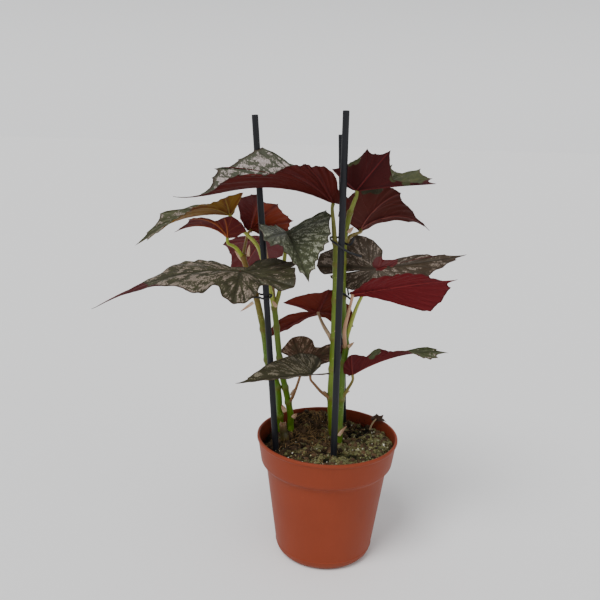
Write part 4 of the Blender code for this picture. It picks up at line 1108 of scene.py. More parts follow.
def make_canes(settings):
    """Each cane and its leaf stalks in one piece."""
    seats = leaf_seats()
    finish = stem_finish("green_cane")
    for number, (name, (route, stalks)) in enumerate(CANES.items()):
        bundle = Bundle()
        path = cane_path(route)
        spots = node_spots(path, stalks, settings.node_spacing)
        add_stem(bundle, path, CANE_SIDES, CANE_COLOURS[name], spots, settings.node_bulge, number)
        for stalk in stalks:
            twig = smooth_route(stalk_path(stalk, seats), SPAN_STEPS)
            hue = STALK_COLOURS[stalk.leaf]
            add_stem(bundle, twig, STALK_SIDES, (hue, hue, 0.5), (0.5,), 0.2, number + 7)
        piece = bundle.build(name + "_stem", finish)
        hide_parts(name)


def stem_finish(name):
    """Satin skin with fine lengthwise streaks, pale specks and darker nodes."""
    paint = Paint(name)
    tint = paint.mark("tint", colour=True)
    ring = paint.mark("node_ring")
    streak = paint.noise(1.6, 2.0, vector=paint.stretched(1 / MM, 1 / MM, 0.09 / MM))
    cloud = paint.noise(9.0, 2.0)
    speck = (1.0 - paint.between(paint.dots(2.6), 0.12, 0.24)) * paint.between(cloud, 0.4, 0.6)
    colour = paint.shade(tint, 0.6 + streak * 0.3 + cloud * 0.3)
    colour = paint.mix(paint.between(streak, 0.55, 0.8) * 0.2, colour, tone(150, 158, 76))
    colour = paint.mix(speck * 0.4, colour, tone(176, 180, 120))
    colour = paint.mix(ring * 0.55, colour, tone(104, 84, 40))
    height = streak * 0.12 + cloud * 0.1 + speck * 0.05
    return paint.finish(colour, 0.42 + (cloud - 0.5) * 0.2, paint.bump(height, 0.6), Specular_IOR_Level=0.3)


def add_sheath(bundle, place, way, out, length, width, seed):
    """A papery sheath: a pointed strip, cupped round the stem and curled at its tip, with a thin second face.
    Its half width falls as (1 - t^1.6), and it bends outwards by t^2."""
    place = np.array(place, float)
    way = unit(np.array(way, float))
    out = np.array(out, float)
    out = unit(out - way * (out @ way))
    across = np.cross(way, out)
    t = np.linspace(0.0, 1.0, 15)[:, None]
    s = np.linspace(-1.0, 1.0, 9)[None]
    half = 0.5 * width * (1.0 - t**1.6) * (0.75 + 0.5 * np.sqrt(t + 0.02)) + 0.12
    crumple = 0.25 * np.sin(3.0 * s + 5.0 * t + seed) * t * width * 0.25
    ahead = length * t + 0 * s
    lift = 0.2 * length * t**2 - 0.45 * half * s**2 + crumple
    points = place + ahead[..., None] * way + (half * s)[..., None] * across + lift[..., None] * out
    normal = unit(np.cross(np.gradient(points, axis=0), np.gradient(points, axis=1)))
    faces = np.concatenate((points + SHEATH_HALF_THICKNESS * normal, points - SHEATH_HALF_THICKNESS * normal))
    rows, columns = points.shape[:2]
    quads = grid_quads(rows, columns, False)
    count = rows * columns
    rim = np.concatenate((
        np.arange(columns), np.arange(2, rows) * columns - 1, np.arange(count - 1, count - columns - 1, -1),
        np.arange(rows - 2, 0, -1) * columns))
    after = np.roll(rim, -1)
    strip = np.stack((rim, after, after + count, rim + count), axis=1)
    bundle.add(faces.reshape(-1, 3), np.vstack((quads, quads[:, ::-1] + count, strip[:, ::-1])),
               paper_run=np.concatenate((np.repeat(t.ravel(), columns),) * 2))


def make_sheaths():
    """All of the dry sheaths in one piece."""
    bundle = Bundle()
    for number, (place, way, out, length, width) in enumerate(SHEATHS):
        add_sheath(bundle, place, way, out, length, width, number)
    paint = Paint("dry_sheath")
    run = paint.mark("paper_run")
    fibre = paint.noise(0.9, 2.0)
    colour = paint.mix(run, tone(206, 172, 140), tone(168, 118, 92))
    colour = paint.mix(paint.between(fibre, 0.45, 0.7) * 0.5, colour, tone(232, 214, 186))
    piece = bundle.build("sheaths", paint.finish(colour, 0.7, paint.bump(fibre * 0.2, 0.6)))


def make_stub():
    """The old broken cane: a grey-brown stem whose top is torn into splinters."""
    bundle = Bundle()
    add_stem(bundle, cane_path(STUB), CANE_SIDES, ((66, 62, 34), (120, 88, 62), 0.9), (16.0,), 0.12, 31)
    top = np.array(STUB[-1][:3], float)
    for angle in np.arange(11) * 0.571:
        way = np.array((math.cos(angle), math.sin(angle), 0.0))
        foot = top + 2.4 * way - (0.0, 0.0, 2.0)
        tip = foot + 0.3 * way + (0.0, 0.0, 3.0 + 1.6 * math.sin(2.3 * angle + 1.0))
        splinter = smooth_route((foot, 0.5 * (foot + tip) + (0.2, 0.1, 0.0), tip), 3)
        radii = np.linspace(0.8, 0.2, len(splinter))
        pale = np.tile(tone(168, 124, 96)[:3], (len(splinter), 1))
        bundle.add(*tube(splinter, radii, SPLINTER_SIDES), tint=row_values(pale, SPLINTER_SIDES),
                   node_ring=0.0)
    piece = bundle.build("old_stub", stem_finish("old_cane"))
    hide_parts("cane_stub")


# Stakes and ties


def make_stakes(settings):
    """Round stakes with shallow lengthwise ribs and flat-cut tops whose edges are just broken."""
    finish = stake_finish(settings)
    angles = round_angles(STAKE_SIDES)[None, :, None]
    rib = 1.0 + 0.012 * np.cos(12 * angles)
    for name, (foot, top) in STAKES.items():
        foot = np.array((*foot, SOIL_LEVEL), float)
        top = np.array(top, float)
        way = (top - foot) / (top[2] - foot[2])
        low = foot - way * STEM_DEPTH
        route = low + (top - low) * np.append(np.linspace(0.0, 1.0, 60), (1.0, 1.0))[:, None]
        route[-3] -= unit(way) * 0.35
        route[-2:] = top
        radii = np.full(len(route), STAKE_RADIUS)
        radii[-2:] = (STAKE_RADIUS - 0.3, 0.02)
        across = unit(np.cross(unit(way), (0.2, 1.0, 0.1)))
        beside = np.cross(unit(way), across)
        points = route[:, None] + radii[:, None, None] * rib * (
            np.cos(angles) * across + np.sin(angles) * beside)
        points = np.vstack((points.reshape(-1, 3), low))
        bundle = Bundle()
        bundle.add(points, grid_quads(len(route), STAKE_SIDES, True),
                   fan(len(points) - 1, 0, STAKE_SIDES, inward=True))
        piece = bundle.build(name + "_rod", finish, smooth_angle=35)
        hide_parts(name)


def stake_finish(settings):
    """Blue-black plastic with faint scuffs along it and dust where water has dried."""
    paint = Paint("stake_plastic")
    streak = paint.noise(2.2, 3.0, vector=paint.stretched(1 / MM, 1 / MM, 0.06 / MM))
    cloud = paint.noise(18.0, 2.0)
    scuff = paint.between(streak, 0.62, 0.78) * paint.between(cloud, 0.45, 0.65)
    colour = paint.spread(cloud, (*settings.colour, 1.0), 0.8, 1.3)
    colour = paint.mix(scuff * 0.16, colour, tone(96, 99, 106))
    rough = 0.42 + scuff * 0.25 + cloud * 0.12
    return paint.finish(colour, rough, paint.bump(streak * 0.08, 0.5), Specular_IOR_Level=0.28)


def make_ties(settings):
    """Soft ties: one bent strand each, with blunt ends; the first end of tie_left is a thick knob."""
    paint = Paint("tie_rubber")
    grain = paint.noise(0.6, 2.0)
    cloud = paint.noise(6.0, 1.0)
    colour = paint.mix(cloud, tone(12, 12, 15), tone(26, 27, 30))
    rough = 0.5 + (grain - 0.5) * 0.2
    finish = paint.finish(colour, rough, paint.bump(grain * 0.1, 0.6), Specular_IOR_Level=0.3)
    for number, (name, route) in enumerate(TIES.items()):
        path, places = even_path(smooth_route(route, SPAN_STEPS), 0.7)
        ends = np.minimum(places, places[-1] - places)
        thick = settings.tie_radius * (1.0 + 0.06 * cell_noise(places, places * 0 + number, 3.0, 90 + number))
        if name == "tie_left":
            thick = thick * (1.0 + 1.1 * (1.0 - soft_step(places, 6.0, 8.5)))
        thick = thick * (0.75 + 0.25 * soft_step(ends, 0.0, 1.2))
        bundle = Bundle()
        bundle.add(*tube(path, thick, 12))
        piece = bundle.build(name + "_strand", finish)
        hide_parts(name)


# The pot


def pot_profile():
    """The pot's wall in section: up the outside, over the lip and down the inside."""
    # each corner as its radius from the axis and its height, and how round it is
    corners = [
        ((0.0, 0.0), 0), ((18.0, 0.0), 0.4), ((18.6, 0.5), 0.4), ((20.4, 0.5), 0.4), ((21.0, 0.0), 0.4),
        ((FOOT_RADIUS, 0.0), 2.2), ((SEAM_RADIUS - 0.9, 5.0), 3.0),
        ((SEAM_RADIUS - 0.15, SEAM_HEIGHT - 0.5), 0.2), ((SEAM_RADIUS + 0.3, SEAM_HEIGHT - 0.2), 0.2),
        ((SEAM_RADIUS + 0.3, SEAM_HEIGHT + 0.4), 0.2), ((SEAM_RADIUS + 0.1, SEAM_HEIGHT + 0.9), 0.3),
        ((BODY_TOP_RADIUS, BODY_TOP_HEIGHT), 2.2), ((BAND_LOWER_RADIUS - 0.2, BAND_LOWER_HEIGHT - 0.6), 1.8),
        ((RIM_RADIUS - 1.15, RIM_HEIGHT - 3.9), 1.0), ((RIM_RADIUS - 0.02, RIM_HEIGHT - 3.0), 0.8),
        ((RIM_RADIUS - 0.02, RIM_HEIGHT - 0.02), 1.3),
        ((RIM_RADIUS - LIP, RIM_HEIGHT - 0.1), 1.0), ((RIM_RADIUS - LIP - 0.4, RIM_HEIGHT - 2.6), 0.8),
        ((BAND_LOWER_RADIUS - WALL, BAND_LOWER_HEIGHT + 1.0), 2.0),
        ((BODY_TOP_RADIUS - WALL, BODY_TOP_HEIGHT + 1.0), 2.0), ((SEAM_RADIUS - WALL, SEAM_HEIGHT), 3.0),
        ((SEAM_RADIUS - WALL - 2.0, FLOOR), 1.5), ((0.0, FLOOR), 0),
    ]
    return rounded([c for c, _ in corners], [r for _, r in corners])


def make_pot(settings):
    """The pot, turned from its rounded section, with drain holes cut through its floor."""
    profile = pot_profile()
    fine = [profile[:1]]
    for a, b in zip(profile[:-1], profile[1:]):
        pieces = max(1, int(np.linalg.norm(b - a) / 9.0))
        fine.append(a + (b - a) * (np.arange(1, pieces + 1) / pieces)[:, None])
    bundle = Bundle()
    bundle.add(*turned(np.vstack(fine), settings.sides))
    pot = bundle.build("pot_shell", pot_finish(settings))
    drill = Bundle()
    low, high, radius = -5.0, FLOOR + 5.0, DRAIN_HOLE_RADIUS
    bar, quads, triangles = turned(np.array([(0, low), (radius, low), (radius, high), (0, high)]), 32)
    for angle in round_angles(DRAIN_HOLES) + math.pi / DRAIN_HOLES:
        place = DRAIN_HOLE_CIRCLE * np.array((math.cos(angle), math.sin(angle), 0.0))
        drill.add(bar + place, quads, triangles)
    cutter = drill.build("drill", pot.data.materials[0])
    cut = pot.modifiers.new("drain holes", "BOOLEAN")
    cut.operation = "DIFFERENCE"
    cut.solver = "EXACT"
    cut.object = cutter
    graph = bpy.context.evaluated_depsgraph_get()
    done = bpy.data.meshes.new_from_object(pot.evaluated_get(graph))
    pot.modifiers.remove(cut)
    pot.data = done
    bpy.data.objects.remove(cutter, do_unlink=True)
    done.set_sharp_from_angle(angle=math.radians(40))
    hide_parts("pot")


def pot_finish(settings):
    """Moulded plastic: even orange-brown with slow clouds and rubbed streaks; painted shade on the inner wall
    of the rim band, and darker noisy patches there towards the soil.
    """
    paint = Paint("pot_plastic")
    base = (*settings.colour, 1.0)
    cloud = paint.noise(45.0, 2.0)
    streak = paint.noise(3.0, 2.0, vector=paint.stretched(1 / MM, 1 / MM, 0.08 / MM))
    grit = paint.noise(1.4, 3.0, rough=0.7)
    height = paint.node("ShaderNodeSeparateXYZ", None, {0: paint.place()}, output=2)
    colour = paint.spread(cloud, base, 0.88, 1.1)
    colour = paint.mix(paint.between(streak, 0.5, 0.75) * 0.12, colour, paint.shade(base, 1.35))
    scuff = paint.between(grit, 0.64, 0.74) * paint.between(cloud, 0.5, 0.62)
    colour = paint.mix(scuff * 0.2, colour, tone(186, 112, 82))
    low = paint.between(height, 0.012, 0.0)
    colour = paint.mix(low * paint.between(grit, 0.35, 0.65) * 0.35, colour, tone(120, 74, 52))
    # the inner wall of the rim band, found by how far a point is from the axis
    level = paint.stretched(1.0, 1.0, 0.0)
    away = paint.node("ShaderNodeVectorMath", {"operation": "LENGTH"}, {0: level}, output=1)
    slant = (RIM_RADIUS - LIP - 0.2 - (BAND_LOWER_RADIUS - WALL)) / (RIM_HEIGHT - BAND_LOWER_HEIGHT)
    wall = (BAND_LOWER_RADIUS - WALL + 0.8) * MM + (height - BAND_LOWER_HEIGHT * MM) * slant
    inside = paint.between(wall - away, -0.0002, 0.0002) * paint.between(height, 0.1, 0.104)
    soil_line_dark = paint.between(grit + (height - 0.112) * -18.0, 0.42, 0.62)
    # painted shade: the inner wall of the rim band gets a darker copy of the plastic
    colour = paint.mix(inside * 0.5, colour, tone(92, 34, 22))
    # darker noisy patches on that wall, strongest just above the soil
    colour = paint.mix(soil_line_dark * inside * 0.85, colour, tone(36, 28, 20))
    wear = streak * 0.06 + grit * 0.05 + cloud * 0.3
    rough = 0.5 + (streak - 0.5) * 0.12 + scuff * 0.2
    return paint.finish(colour, rough, paint.bump(wear, 0.35), Specular_IOR_Level=0.16)


# The soil and what lies on it


def soil_heap(x, y):
    """How near the top of the heap by the back rim, from 0 to 1."""
    aside = (x - HEAP_PLACE[0]) / HEAP_REACH[0]
    behind = (y - HEAP_PLACE[1]) / HEAP_REACH[1]
    return np.exp(-(aside**2) - behind**2)


def soil_base(x, y):
    """The soil's level as its solid has it: a tilt, two sine waves and the heap, less 2 reach^4."""
    reach = np.hypot(x, y) / RIM_RADIUS
    rise = SOIL_FRONT_RISE * np.clip(-y / RIM_RADIUS, -0.3, 1.0) + SOIL_RIGHT_RISE * x / RIM_RADIUS
    waves = 1.0 * np.sin(0.13 * x + 0.6) * np.cos(0.11 * y) + 0.7 * np.sin(0.21 * x - 0.17 * y + 1.0)
    return SOIL_LEVEL + rise + waves + HEAP_HEIGHT * soil_heap(x, y) - 2.0 * reach**4


def soil_lumps(x, y):
    """Lumps of four sizes, in mm: a sum of smooth noises, the third one folded up at zero."""
    lumps = 1.9 * cell_noise(x, y, 8.0, 11) + 1.6 * cell_noise(x, y, 3.8, 12)
    return lumps + 1.0 * np.abs(cell_noise(x, y, 1.9, 13)) + 0.35 * cell_noise(x, y, 0.9, 14)


def soil_top(x, y):
    """The fine soil: its level with lumps, and a low mound round each stem and stake."""
    mound = 0.0
    for foot_x, foot_y in stem_feet():
        away = np.hypot(x - foot_x, y - foot_y)
        mound = mound + MOUND_HEIGHT * np.exp(-((away / MOUND_WIDTH) ** 2))
    return soil_base(x, y) + soil_lumps(x, y) + mound


def stem_feet():
    """Where the stems and stakes come out of the soil."""
    feet = [foot for foot, _ in STAKES.values()]
    return feet + [route[0][:2] for route in (*(cane for cane, _ in CANES.values()), STUB)]


def wall_reach(z):
    """The soil's radius at a height in the rim band."""
    low = BAND_LOWER_RADIUS - WALL - SOIL_GAP
    high = RIM_RADIUS - LIP - 0.4 - SOIL_GAP
    foot = BAND_LOWER_HEIGHT + 1.4
    return low + (high - low) * (z - foot) / (RIM_HEIGHT - 2.0 - foot)


def make_soil(settings):
    """The filled soil: a fine polar grid over the top, closed by the side and the underside."""
    sides = settings.columns
    cosine, sine = np.cos(round_angles(sides)), np.sin(round_angles(sides))
    edge = wall_reach(soil_base(0.95 * RIM_RADIUS * cosine, 0.95 * RIM_RADIUS * sine)) - 0.15
    share = np.linspace(1.0, 1.0 / settings.rings, settings.rings)[:, None]
    x = share * edge * cosine
    y = share * edge * sine
    gap = WALL + SOIL_GAP
    below = (
        (SEAM_RADIUS - gap - 2.2, FLOOR + SOIL_GAP), (SEAM_RADIUS - gap, SEAM_HEIGHT),
        (BODY_TOP_RADIUS - gap, BODY_TOP_HEIGHT + 1.0),
        (BAND_LOWER_RADIUS - gap - 0.1, BAND_LOWER_HEIGHT + 1.4))
    side = [np.stack((r * cosine, r * sine, 0 * sine + z), axis=1) for r, z in below]
    top = np.stack((x, y, soil_top(x, y)), axis=-1).reshape(-1, 3)
    points = np.vstack((*side, top, (0, 0, below[0][1]), (0, 0, soil_top(0.0, 0.0))))
    bundle = Bundle()
    bundle.add(points, *closed_faces(len(side) + settings.rings, sides),
               lump=soil_lumps(points[:, 0], points[:, 1]), moss=moss_share(points[:, 0], points[:, 1]))
    piece = bundle.build("soil_bed", soil_finish())
    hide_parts("soil")


def soil_finish():
    """Dark peat, greener where moss is thick, with painted shade that makes its hollows and the gaps between
    its crumbs nearly black.
    """
    paint = Paint("peat")
    grit = paint.noise(1.3, 3.0, rough=0.7)
    crumb = paint.dots(1.6)
    patch = paint.noise(7.0, 3.0, rough=0.6)
    colour = paint.mix(grit, tone(30, 23, 16), tone(88, 68, 46))
    green = paint.mix(grit, tone(52, 54, 26), tone(112, 112, 66))
    mossy = paint.between(paint.mark("moss") + (patch - 0.5) * 1.4, 0.4, 0.75)
    colour = paint.mix(mossy * 0.8, colour, green)
    # painted shade: the gaps between the crumbs of the texture darkened nearly to black
    colour = paint.mix(paint.between(crumb + grit * 0.3, 0.75, 0.95) * 0.6, colour, tone(16, 14, 12))
    # painted shade: the hollows between the lumps darkened nearly to black
    hollow_shade = 1.0 - paint.between(paint.mark("lump"), -1.0, 1.4)
    colour = paint.mix(hollow_shade * 0.92, colour, tone(7, 6, 5))
    return paint.finish(colour, 0.92, paint.bump(grit * 0.8 + crumb * -0.5, 0.8), Specular_IOR_Level=0.12)


def random_turns(rng, count, tilt=1.0):
    """Rotation matrices: a turn about Z and a lean of up to tilt radians about a level axis."""
    turn = rng.uniform(0, 2 * np.pi, count)
    lean = rng.uniform(-tilt, tilt, count)
    about = rng.uniform(0, 2 * np.pi, count)
    axis = np.stack((np.cos(about), np.sin(about), 0 * about), axis=1)
    cross = np.zeros((count, 3, 3))
    cross[:, 0, 2] = axis[:, 1]
    cross[:, 1, 2] = -axis[:, 0]
    cross[:, 2, 0] = -axis[:, 1]
    cross[:, 2, 1] = axis[:, 0]
    lean = lean[:, None, None]
    leaning = np.eye(3) + np.sin(lean) * cross + (1 - np.cos(lean)) * cross @ cross
    turning = np.zeros((count, 3, 3))
    turning[:, 0, 0] = turning[:, 1, 1] = np.cos(turn)
    turning[:, 0, 1] = -np.sin(turn)
    turning[:, 1, 0] = np.sin(turn)
    turning[:, 2, 2] = 1
    return leaning @ turning


def scattered(shape, faces, places, turns, sizes, jitter=0.0, rng=None):
    """Many copies of a small shape, each turned, stretched by its sizes and roughened by jitter."""
    local = shape[None] * sizes[:, None]
    if jitter:
        local = local * (1.0 + rng.uniform(-jitter, jitter, local.shape))
    points = np.einsum("nij,nkj->nki", turns, local) + places[:, None]
    offsets = (np.arange(len(places)) * len(shape))[:, None, None]
    return points.reshape(-1, 3), (faces[None] + offsets).reshape(-1, 3)


def ground_places(rng, count, spread=0.965, density=None):
    """Random places on the soil, thinned by a density from 0 to 1 where one is given."""
    found = np.empty((0, 2))
    while len(found) < count:
        reach = np.sqrt(rng.uniform(0, 1, count * 2)) * spread * wall_reach(SOIL_LEVEL)
        angle = rng.uniform(0, 2 * np.pi, count * 2)
        tried = np.stack((reach * np.cos(angle), reach * np.sin(angle)), axis=1)
        if density is not None:
            tried = tried[rng.uniform(0, 1, len(tried)) < density(tried[:, 0], tried[:, 1])]
        found = np.vstack((found, tried))
    x, y = found[:count].T
    return np.stack((x, y, soil_top(x, y)), axis=1)


# Loose grains: an eight-sided chip and a twenty-sided ball, each as its points and triangles
GOLDEN = (1 + 5**0.5) / 2
CHIP = (
    np.array([(1, 0, 0), (-1, 0, 0), (0, 1, 0), (0, -1, 0), (0, 0, 1), (0, 0, -1)], float),
    np.array([(0, 2, 4), (2, 1, 4), (1, 3, 4), (3, 0, 4), (2, 0, 5), (1, 2, 5), (3, 1, 5), (0, 3, 5)]),
)
BALL = (
    unit(np.array([(-1, GOLDEN, 0), (1, GOLDEN, 0), (-1, -GOLDEN, 0), (1, -GOLDEN, 0),
                   (0, -1, GOLDEN), (0, 1, GOLDEN), (0, -1, -GOLDEN), (0, 1, -GOLDEN),
                   (GOLDEN, 0, -1), (GOLDEN, 0, 1), (-GOLDEN, 0, -1), (-GOLDEN, 0, 1)])),
    np.array([(0, 11, 5), (0, 5, 1), (0, 1, 7), (0, 7, 10), (0, 10, 11), (1, 5, 9), (5, 11, 4), (11, 10, 2),
              (10, 7, 6), (7, 1, 8), (3, 9, 4), (3, 4, 2), (3, 2, 6), (3, 6, 8), (3, 8, 9), (4, 9, 5),
              (2, 4, 11), (6, 2, 10), (8, 6, 7), (9, 8, 1)]),
)


def moss_share(x, y):
    """Thick in front and on the right, thin at the back and on the left, none on the heap, in patches."""
    lean = 0.5 + 0.6 * np.clip((x - 4.0) / 36.0, -1, 1) + 0.35 * np.clip(-y / 45.0, -1, 1)
    return np.clip((lean + 0.5 * cell_noise(x, y, 12.0, 41)) * (1.0 - soil_heap(x, y)), 0.02, 1.0)


def moss_density(x, y):
    """The moss's share, on the lumps and not between them."""
    return moss_share(x, y) * (0.06 + 0.94 * soft_step(soil_lumps(x, y), -0.2, 1.6))


def crumb_density(x, y):
    """More crumbs on the lumps than between them, and few on the far left."""
    return (0.12 + 0.88 * soft_step(soil_lumps(x, y), -0.6, 1.2)) * soft_step(x, -62.0, -30.0)


def fibre_density(x, y):
    """Thick on the heap, behind the middle and to its left, thin elsewhere."""
    away = np.hypot(x + 12, (y - 14) * 1.2)
    return np.clip(np.maximum(0.9 - away / 44.0, soil_heap(x, y)), 0.05, 1.0)


def add_moss(bundle, rng, count):
    """Cushions of moss: short leaning leaflets, each a three-sided spike, on a low dome whose height falls
    from its middle to its edge as 1 - away^2."""
    centres = ground_places(rng, count, density=moss_density)
    radius = np.repeat(0.7 + 2.3 * rng.uniform(0, 1, count) ** 1.7, LEAFLETS)
    places = np.repeat(centres, LEAFLETS, axis=0)
    total = len(places)
    away = np.sqrt(rng.uniform(0, 1, total))
    around = rng.uniform(0, 2 * np.pi, total)
    places[:, 0] += away * radius * np.cos(around)
    places[:, 1] += away * radius * np.sin(around)
    places[:, 2] += radius * 0.55 * (1.0 - away**2) - 0.3
    inside = np.minimum(1.0, (wall_reach(SOIL_LEVEL) - 1.2) / np.hypot(places[:, 0], places[:, 1]))
    places[:, :2] *= inside[:, None]
    spike = np.array([(0.5, 0, 0), (-0.25, 0.43, 0), (-0.25, -0.43, 0), (0.15, 0, 1.0)])
    faces = np.array([(0, 1, 3), (1, 2, 3), (2, 0, 3)])
    height = rng.uniform(0.6, 1.5, total)
    sizes = np.stack((height * 0.42, height * 0.42, height), axis=1)
    points, triangles = scattered(spike, faces, places, random_turns(rng, total, 1.2), sizes)
    hue = 0.5 * np.repeat(rng.uniform(0, 1, count) ** 1.6, LEAFLETS) + 0.4 * rng.uniform(0, 1, total) ** 2
    # painted light and shade: leaflets paler towards the top of each cushion and darker towards its edge
    hue = np.clip(hue + 0.25 * (1.0 - away), 0, 1)
    bundle.add(points, triangles=triangles, hue=np.repeat(hue, len(spike)))


def add_crumbs(bundle, rng, count, low, high, grain, jitter, density):
    """Crumbs of one kind, from low to high mm in radius, a little more than half of each above the soil."""
    shape, faces = grain
    places = ground_places(rng, count, density=density)
    size = rng.uniform(low, high, count)
    sizes = size[:, None] * rng.uniform(0.6, 1.3, (count, 3))
    places[:, 2] += size * 0.15
    points, triangles = scattered(shape, faces, places, random_turns(rng, count, 1.5), sizes, jitter, rng)
    bundle.add(points, triangles=triangles, hue=np.repeat(rng.uniform(0, 1, count), len(shape)))


def add_fibres(bundle, rng, count):
    """Thin bent rootlets and straws lying over the soil, four-sided, each on a short random curve."""
    steps = 6
    for place in ground_places(rng, count, spread=0.9, density=fibre_density):
        angle = rng.uniform(0, 2 * np.pi) + np.cumsum(rng.normal(0, 0.35, steps))
        reach = rng.uniform(0.8, 2.6)
        x = place[0] + np.cumsum(np.cos(angle)) * reach
        y = place[1] + np.cumsum(np.sin(angle)) * reach
        keep = np.minimum(1.0, FIBRE_LIMIT / np.maximum(np.hypot(x, y), 1.0))
        x = x * keep
        y = y * keep
        hump = np.sin(np.linspace(0, np.pi, steps))
        z = soil_top(x, y) + rng.uniform(0.1, 0.9) + 0.9 * hump * rng.uniform(0, 2)
        radius = rng.uniform(0.08, 0.24)
        route = np.stack((x, y, z), axis=1)
        bundle.add(*tube(route, np.full(steps, radius), 4), hue=rng.uniform(0, 1))


def litter_finish(name, low, high, roughness):
    """A dry grain whose colour runs between two tones from grain to grain."""
    paint = Paint(name)
    hue = paint.mark("hue")
    grit = paint.noise(0.8, 2.0)
    colour = paint.mix(hue * 0.7 + grit * 0.3, tone(*low), tone(*high))
    return paint.finish(colour, roughness, paint.bump(grit * 0.3, 0.6), Specular_IOR_Level=0.25)


def make_litter(settings):
    """Moss, peat crumbs, pale grains, rootlets and grit on the soil, each kind a piece."""
    crumbs = settings.crumbs
    # name, its makers with their settings, darkest and palest colour, roughness
    kinds = (
        ("moss_tufts", ((add_moss, settings.moss),), (18, 22, 10), (176, 172, 116), 0.8),
        ("peat_crumbs", ((add_crumbs, crumbs, 0.4, 1.4, CHIP, 0.3, crumb_density),
                         (add_crumbs, crumbs // 12, 1.4, 3.0, BALL, 0.25, crumb_density)),
         (14, 11, 8), (94, 72, 50), 0.95),
        ("pale_grains", ((add_crumbs, settings.grains, 0.35, 0.95, BALL, 0.18, moss_density),),
         (186, 182, 160), (236, 234, 220), 0.8),
        ("rootlets", ((add_fibres, settings.fibres),), (50, 34, 20), (182, 148, 98), 0.8),
        ("green_grit", ((add_crumbs, crumbs // 4, 0.4, 1.2, BALL, 0.3, moss_density),),
         (44, 48, 26), (170, 168, 130), 0.9),
    )
    for name, makers, low, high, roughness in kinds:
        rng = np.random.default_rng(len(name))
        bundle = Bundle()
        for make, *values in makers:
            make(bundle, rng, *values)
        piece = bundle.build(name, litter_finish(name, low, high, roughness), smooth_angle=30)


def make_scrap():
    """The dried scrap on its stick: a thin plate from its centre to its pronged edge, a saddle x^2 - y^2 that
    two noises crumple."""
    centre = np.array(SCRAP_CENTRE)
    right = np.array((0.98, -0.2, 0.0))
    upward = np.array((-0.06, -0.3, 0.95))
    normal = unit(np.cross(right, upward))
    corners = np.array(SCRAP_EDGE, float)
    t = (np.arange(6) / 6)[None, :, None]
    edge = (corners[:, None] * (1 - t) + np.roll(corners, -1, axis=0)[:, None] * t).reshape(-1, 2)
    share = (np.arange(1, 13) / 12)[:, None]
    x, y = share * edge[:, 0], share * edge[:, 1]
    depth = 0.05 * x**2 - 0.03 * y**2 + 0.7 * cell_noise(x, y, 2.2, 61) + 0.3 * cell_noise(x, y, 0.9, 62)
    middle = centre + x[..., None] * right + y[..., None] * upward + depth[..., None] * normal
    middle = np.vstack((middle.reshape(-1, 3), centre))
    lift = SCRAP_HALF_THICKNESS * normal
    bundle = Bundle()
    bundle.add(np.vstack((middle + lift, middle - lift)), *plate_faces(*x.shape), pale=0.0)
    foot = np.array((*SCRAP_FOOT, soil_top(*SCRAP_FOOT) - 1.0))
    path = smooth_route((foot, 0.5 * (foot + centre) + (-0.6, 0.0, 0.4), centre + 0.5 * right), SPAN_STEPS)
    bundle.add(*tube(path, np.linspace(1.0, 0.8, len(path)), 10), pale=1.0)
    paint = Paint("dried_leaf")
    grit = paint.noise(1.2, 3.0, rough=0.7)
    colour = paint.mix(grit, tone(30, 18, 14), tone(92, 62, 46))
    colour = paint.mix(paint.mark("pale"), colour, paint.mix(grit, tone(150, 126, 92), tone(206, 186, 148)))
    piece = bundle.build("dried_scrap_leaf", paint.finish(colour, 0.8, paint.bump(grit * 0.5, 0.8)))
    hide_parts("dried_scrap")


# Stage: floor, light and camera

FLOOR_WIDTH = 80.0  # in metres
CAMERA_PLACE = (0.0, -638.5, 410.9)
CAMERA_YAW = -2.8
CAMERA_PITCH = 13.3
CAMERA_ROLL = 1.7
CAMERA_LENS = 41.16
# Wide suns: the direction each shines from, its irradiance in W/m2 and its width in degrees
SUNS = (
    ("key_light", (-0.42, -0.62, 1.0), 2.5, 28.0),
    ("fill_light", (0.9, -0.7, 0.5), 0.5, 60.0),
)


def make_sky(settings):
    """A sky whose brightness falls from the horizon's to the overhead one by the height of the direction."""
    world = bpy.data.worlds.new("pale_sky")
    world.use_nodes = True
    tree = world.node_tree
    place = tree.nodes.new("ShaderNodeTexCoord")
    split = tree.nodes.new("ShaderNodeSeparateXYZ")
    ramp = tree.nodes.new("ShaderNodeMapRange")
    ramp.interpolation_type = "SMOOTHSTEP"
    limits = {"From Min": 0.05, "From Max": 0.45, "To Min": settings.horizon, "To Max": settings.sky}
    for socket, value in limits.items():
        ramp.inputs[socket].default_value = value
    tree.links.new(place.outputs["Generated"], split.inputs[0])
    tree.links.new(split.outputs[2], ramp.inputs["Value"])
    tree.links.new(ramp.outputs[0], tree.nodes["Background"].inputs["Strength"])
    tree.nodes["Background"].inputs["Color"].default_value = (0.985, 0.99, 1.0, 1.0)
    bpy.context.scene.world = world


def make_floor(settings):
    """A wide pale floor just under the pot."""
    half = FLOOR_WIDTH / 2
    mesh = bpy.data.meshes.new("floor")
    mesh.from_pydata([(-half, -half, 0), (half, -half, 0), (half, half, 0), (-half, half, 0)], [],
                     [(0, 1, 2, 3)])
    paint = Paint("floor_paint")
    mesh.materials.append(paint.finish(tone(*[settings.floor_tone] * 3), 0.9, Specular_IOR_Level=0.0))
    floor = linked("floor", mesh)
    floor.location.z = -0.0002


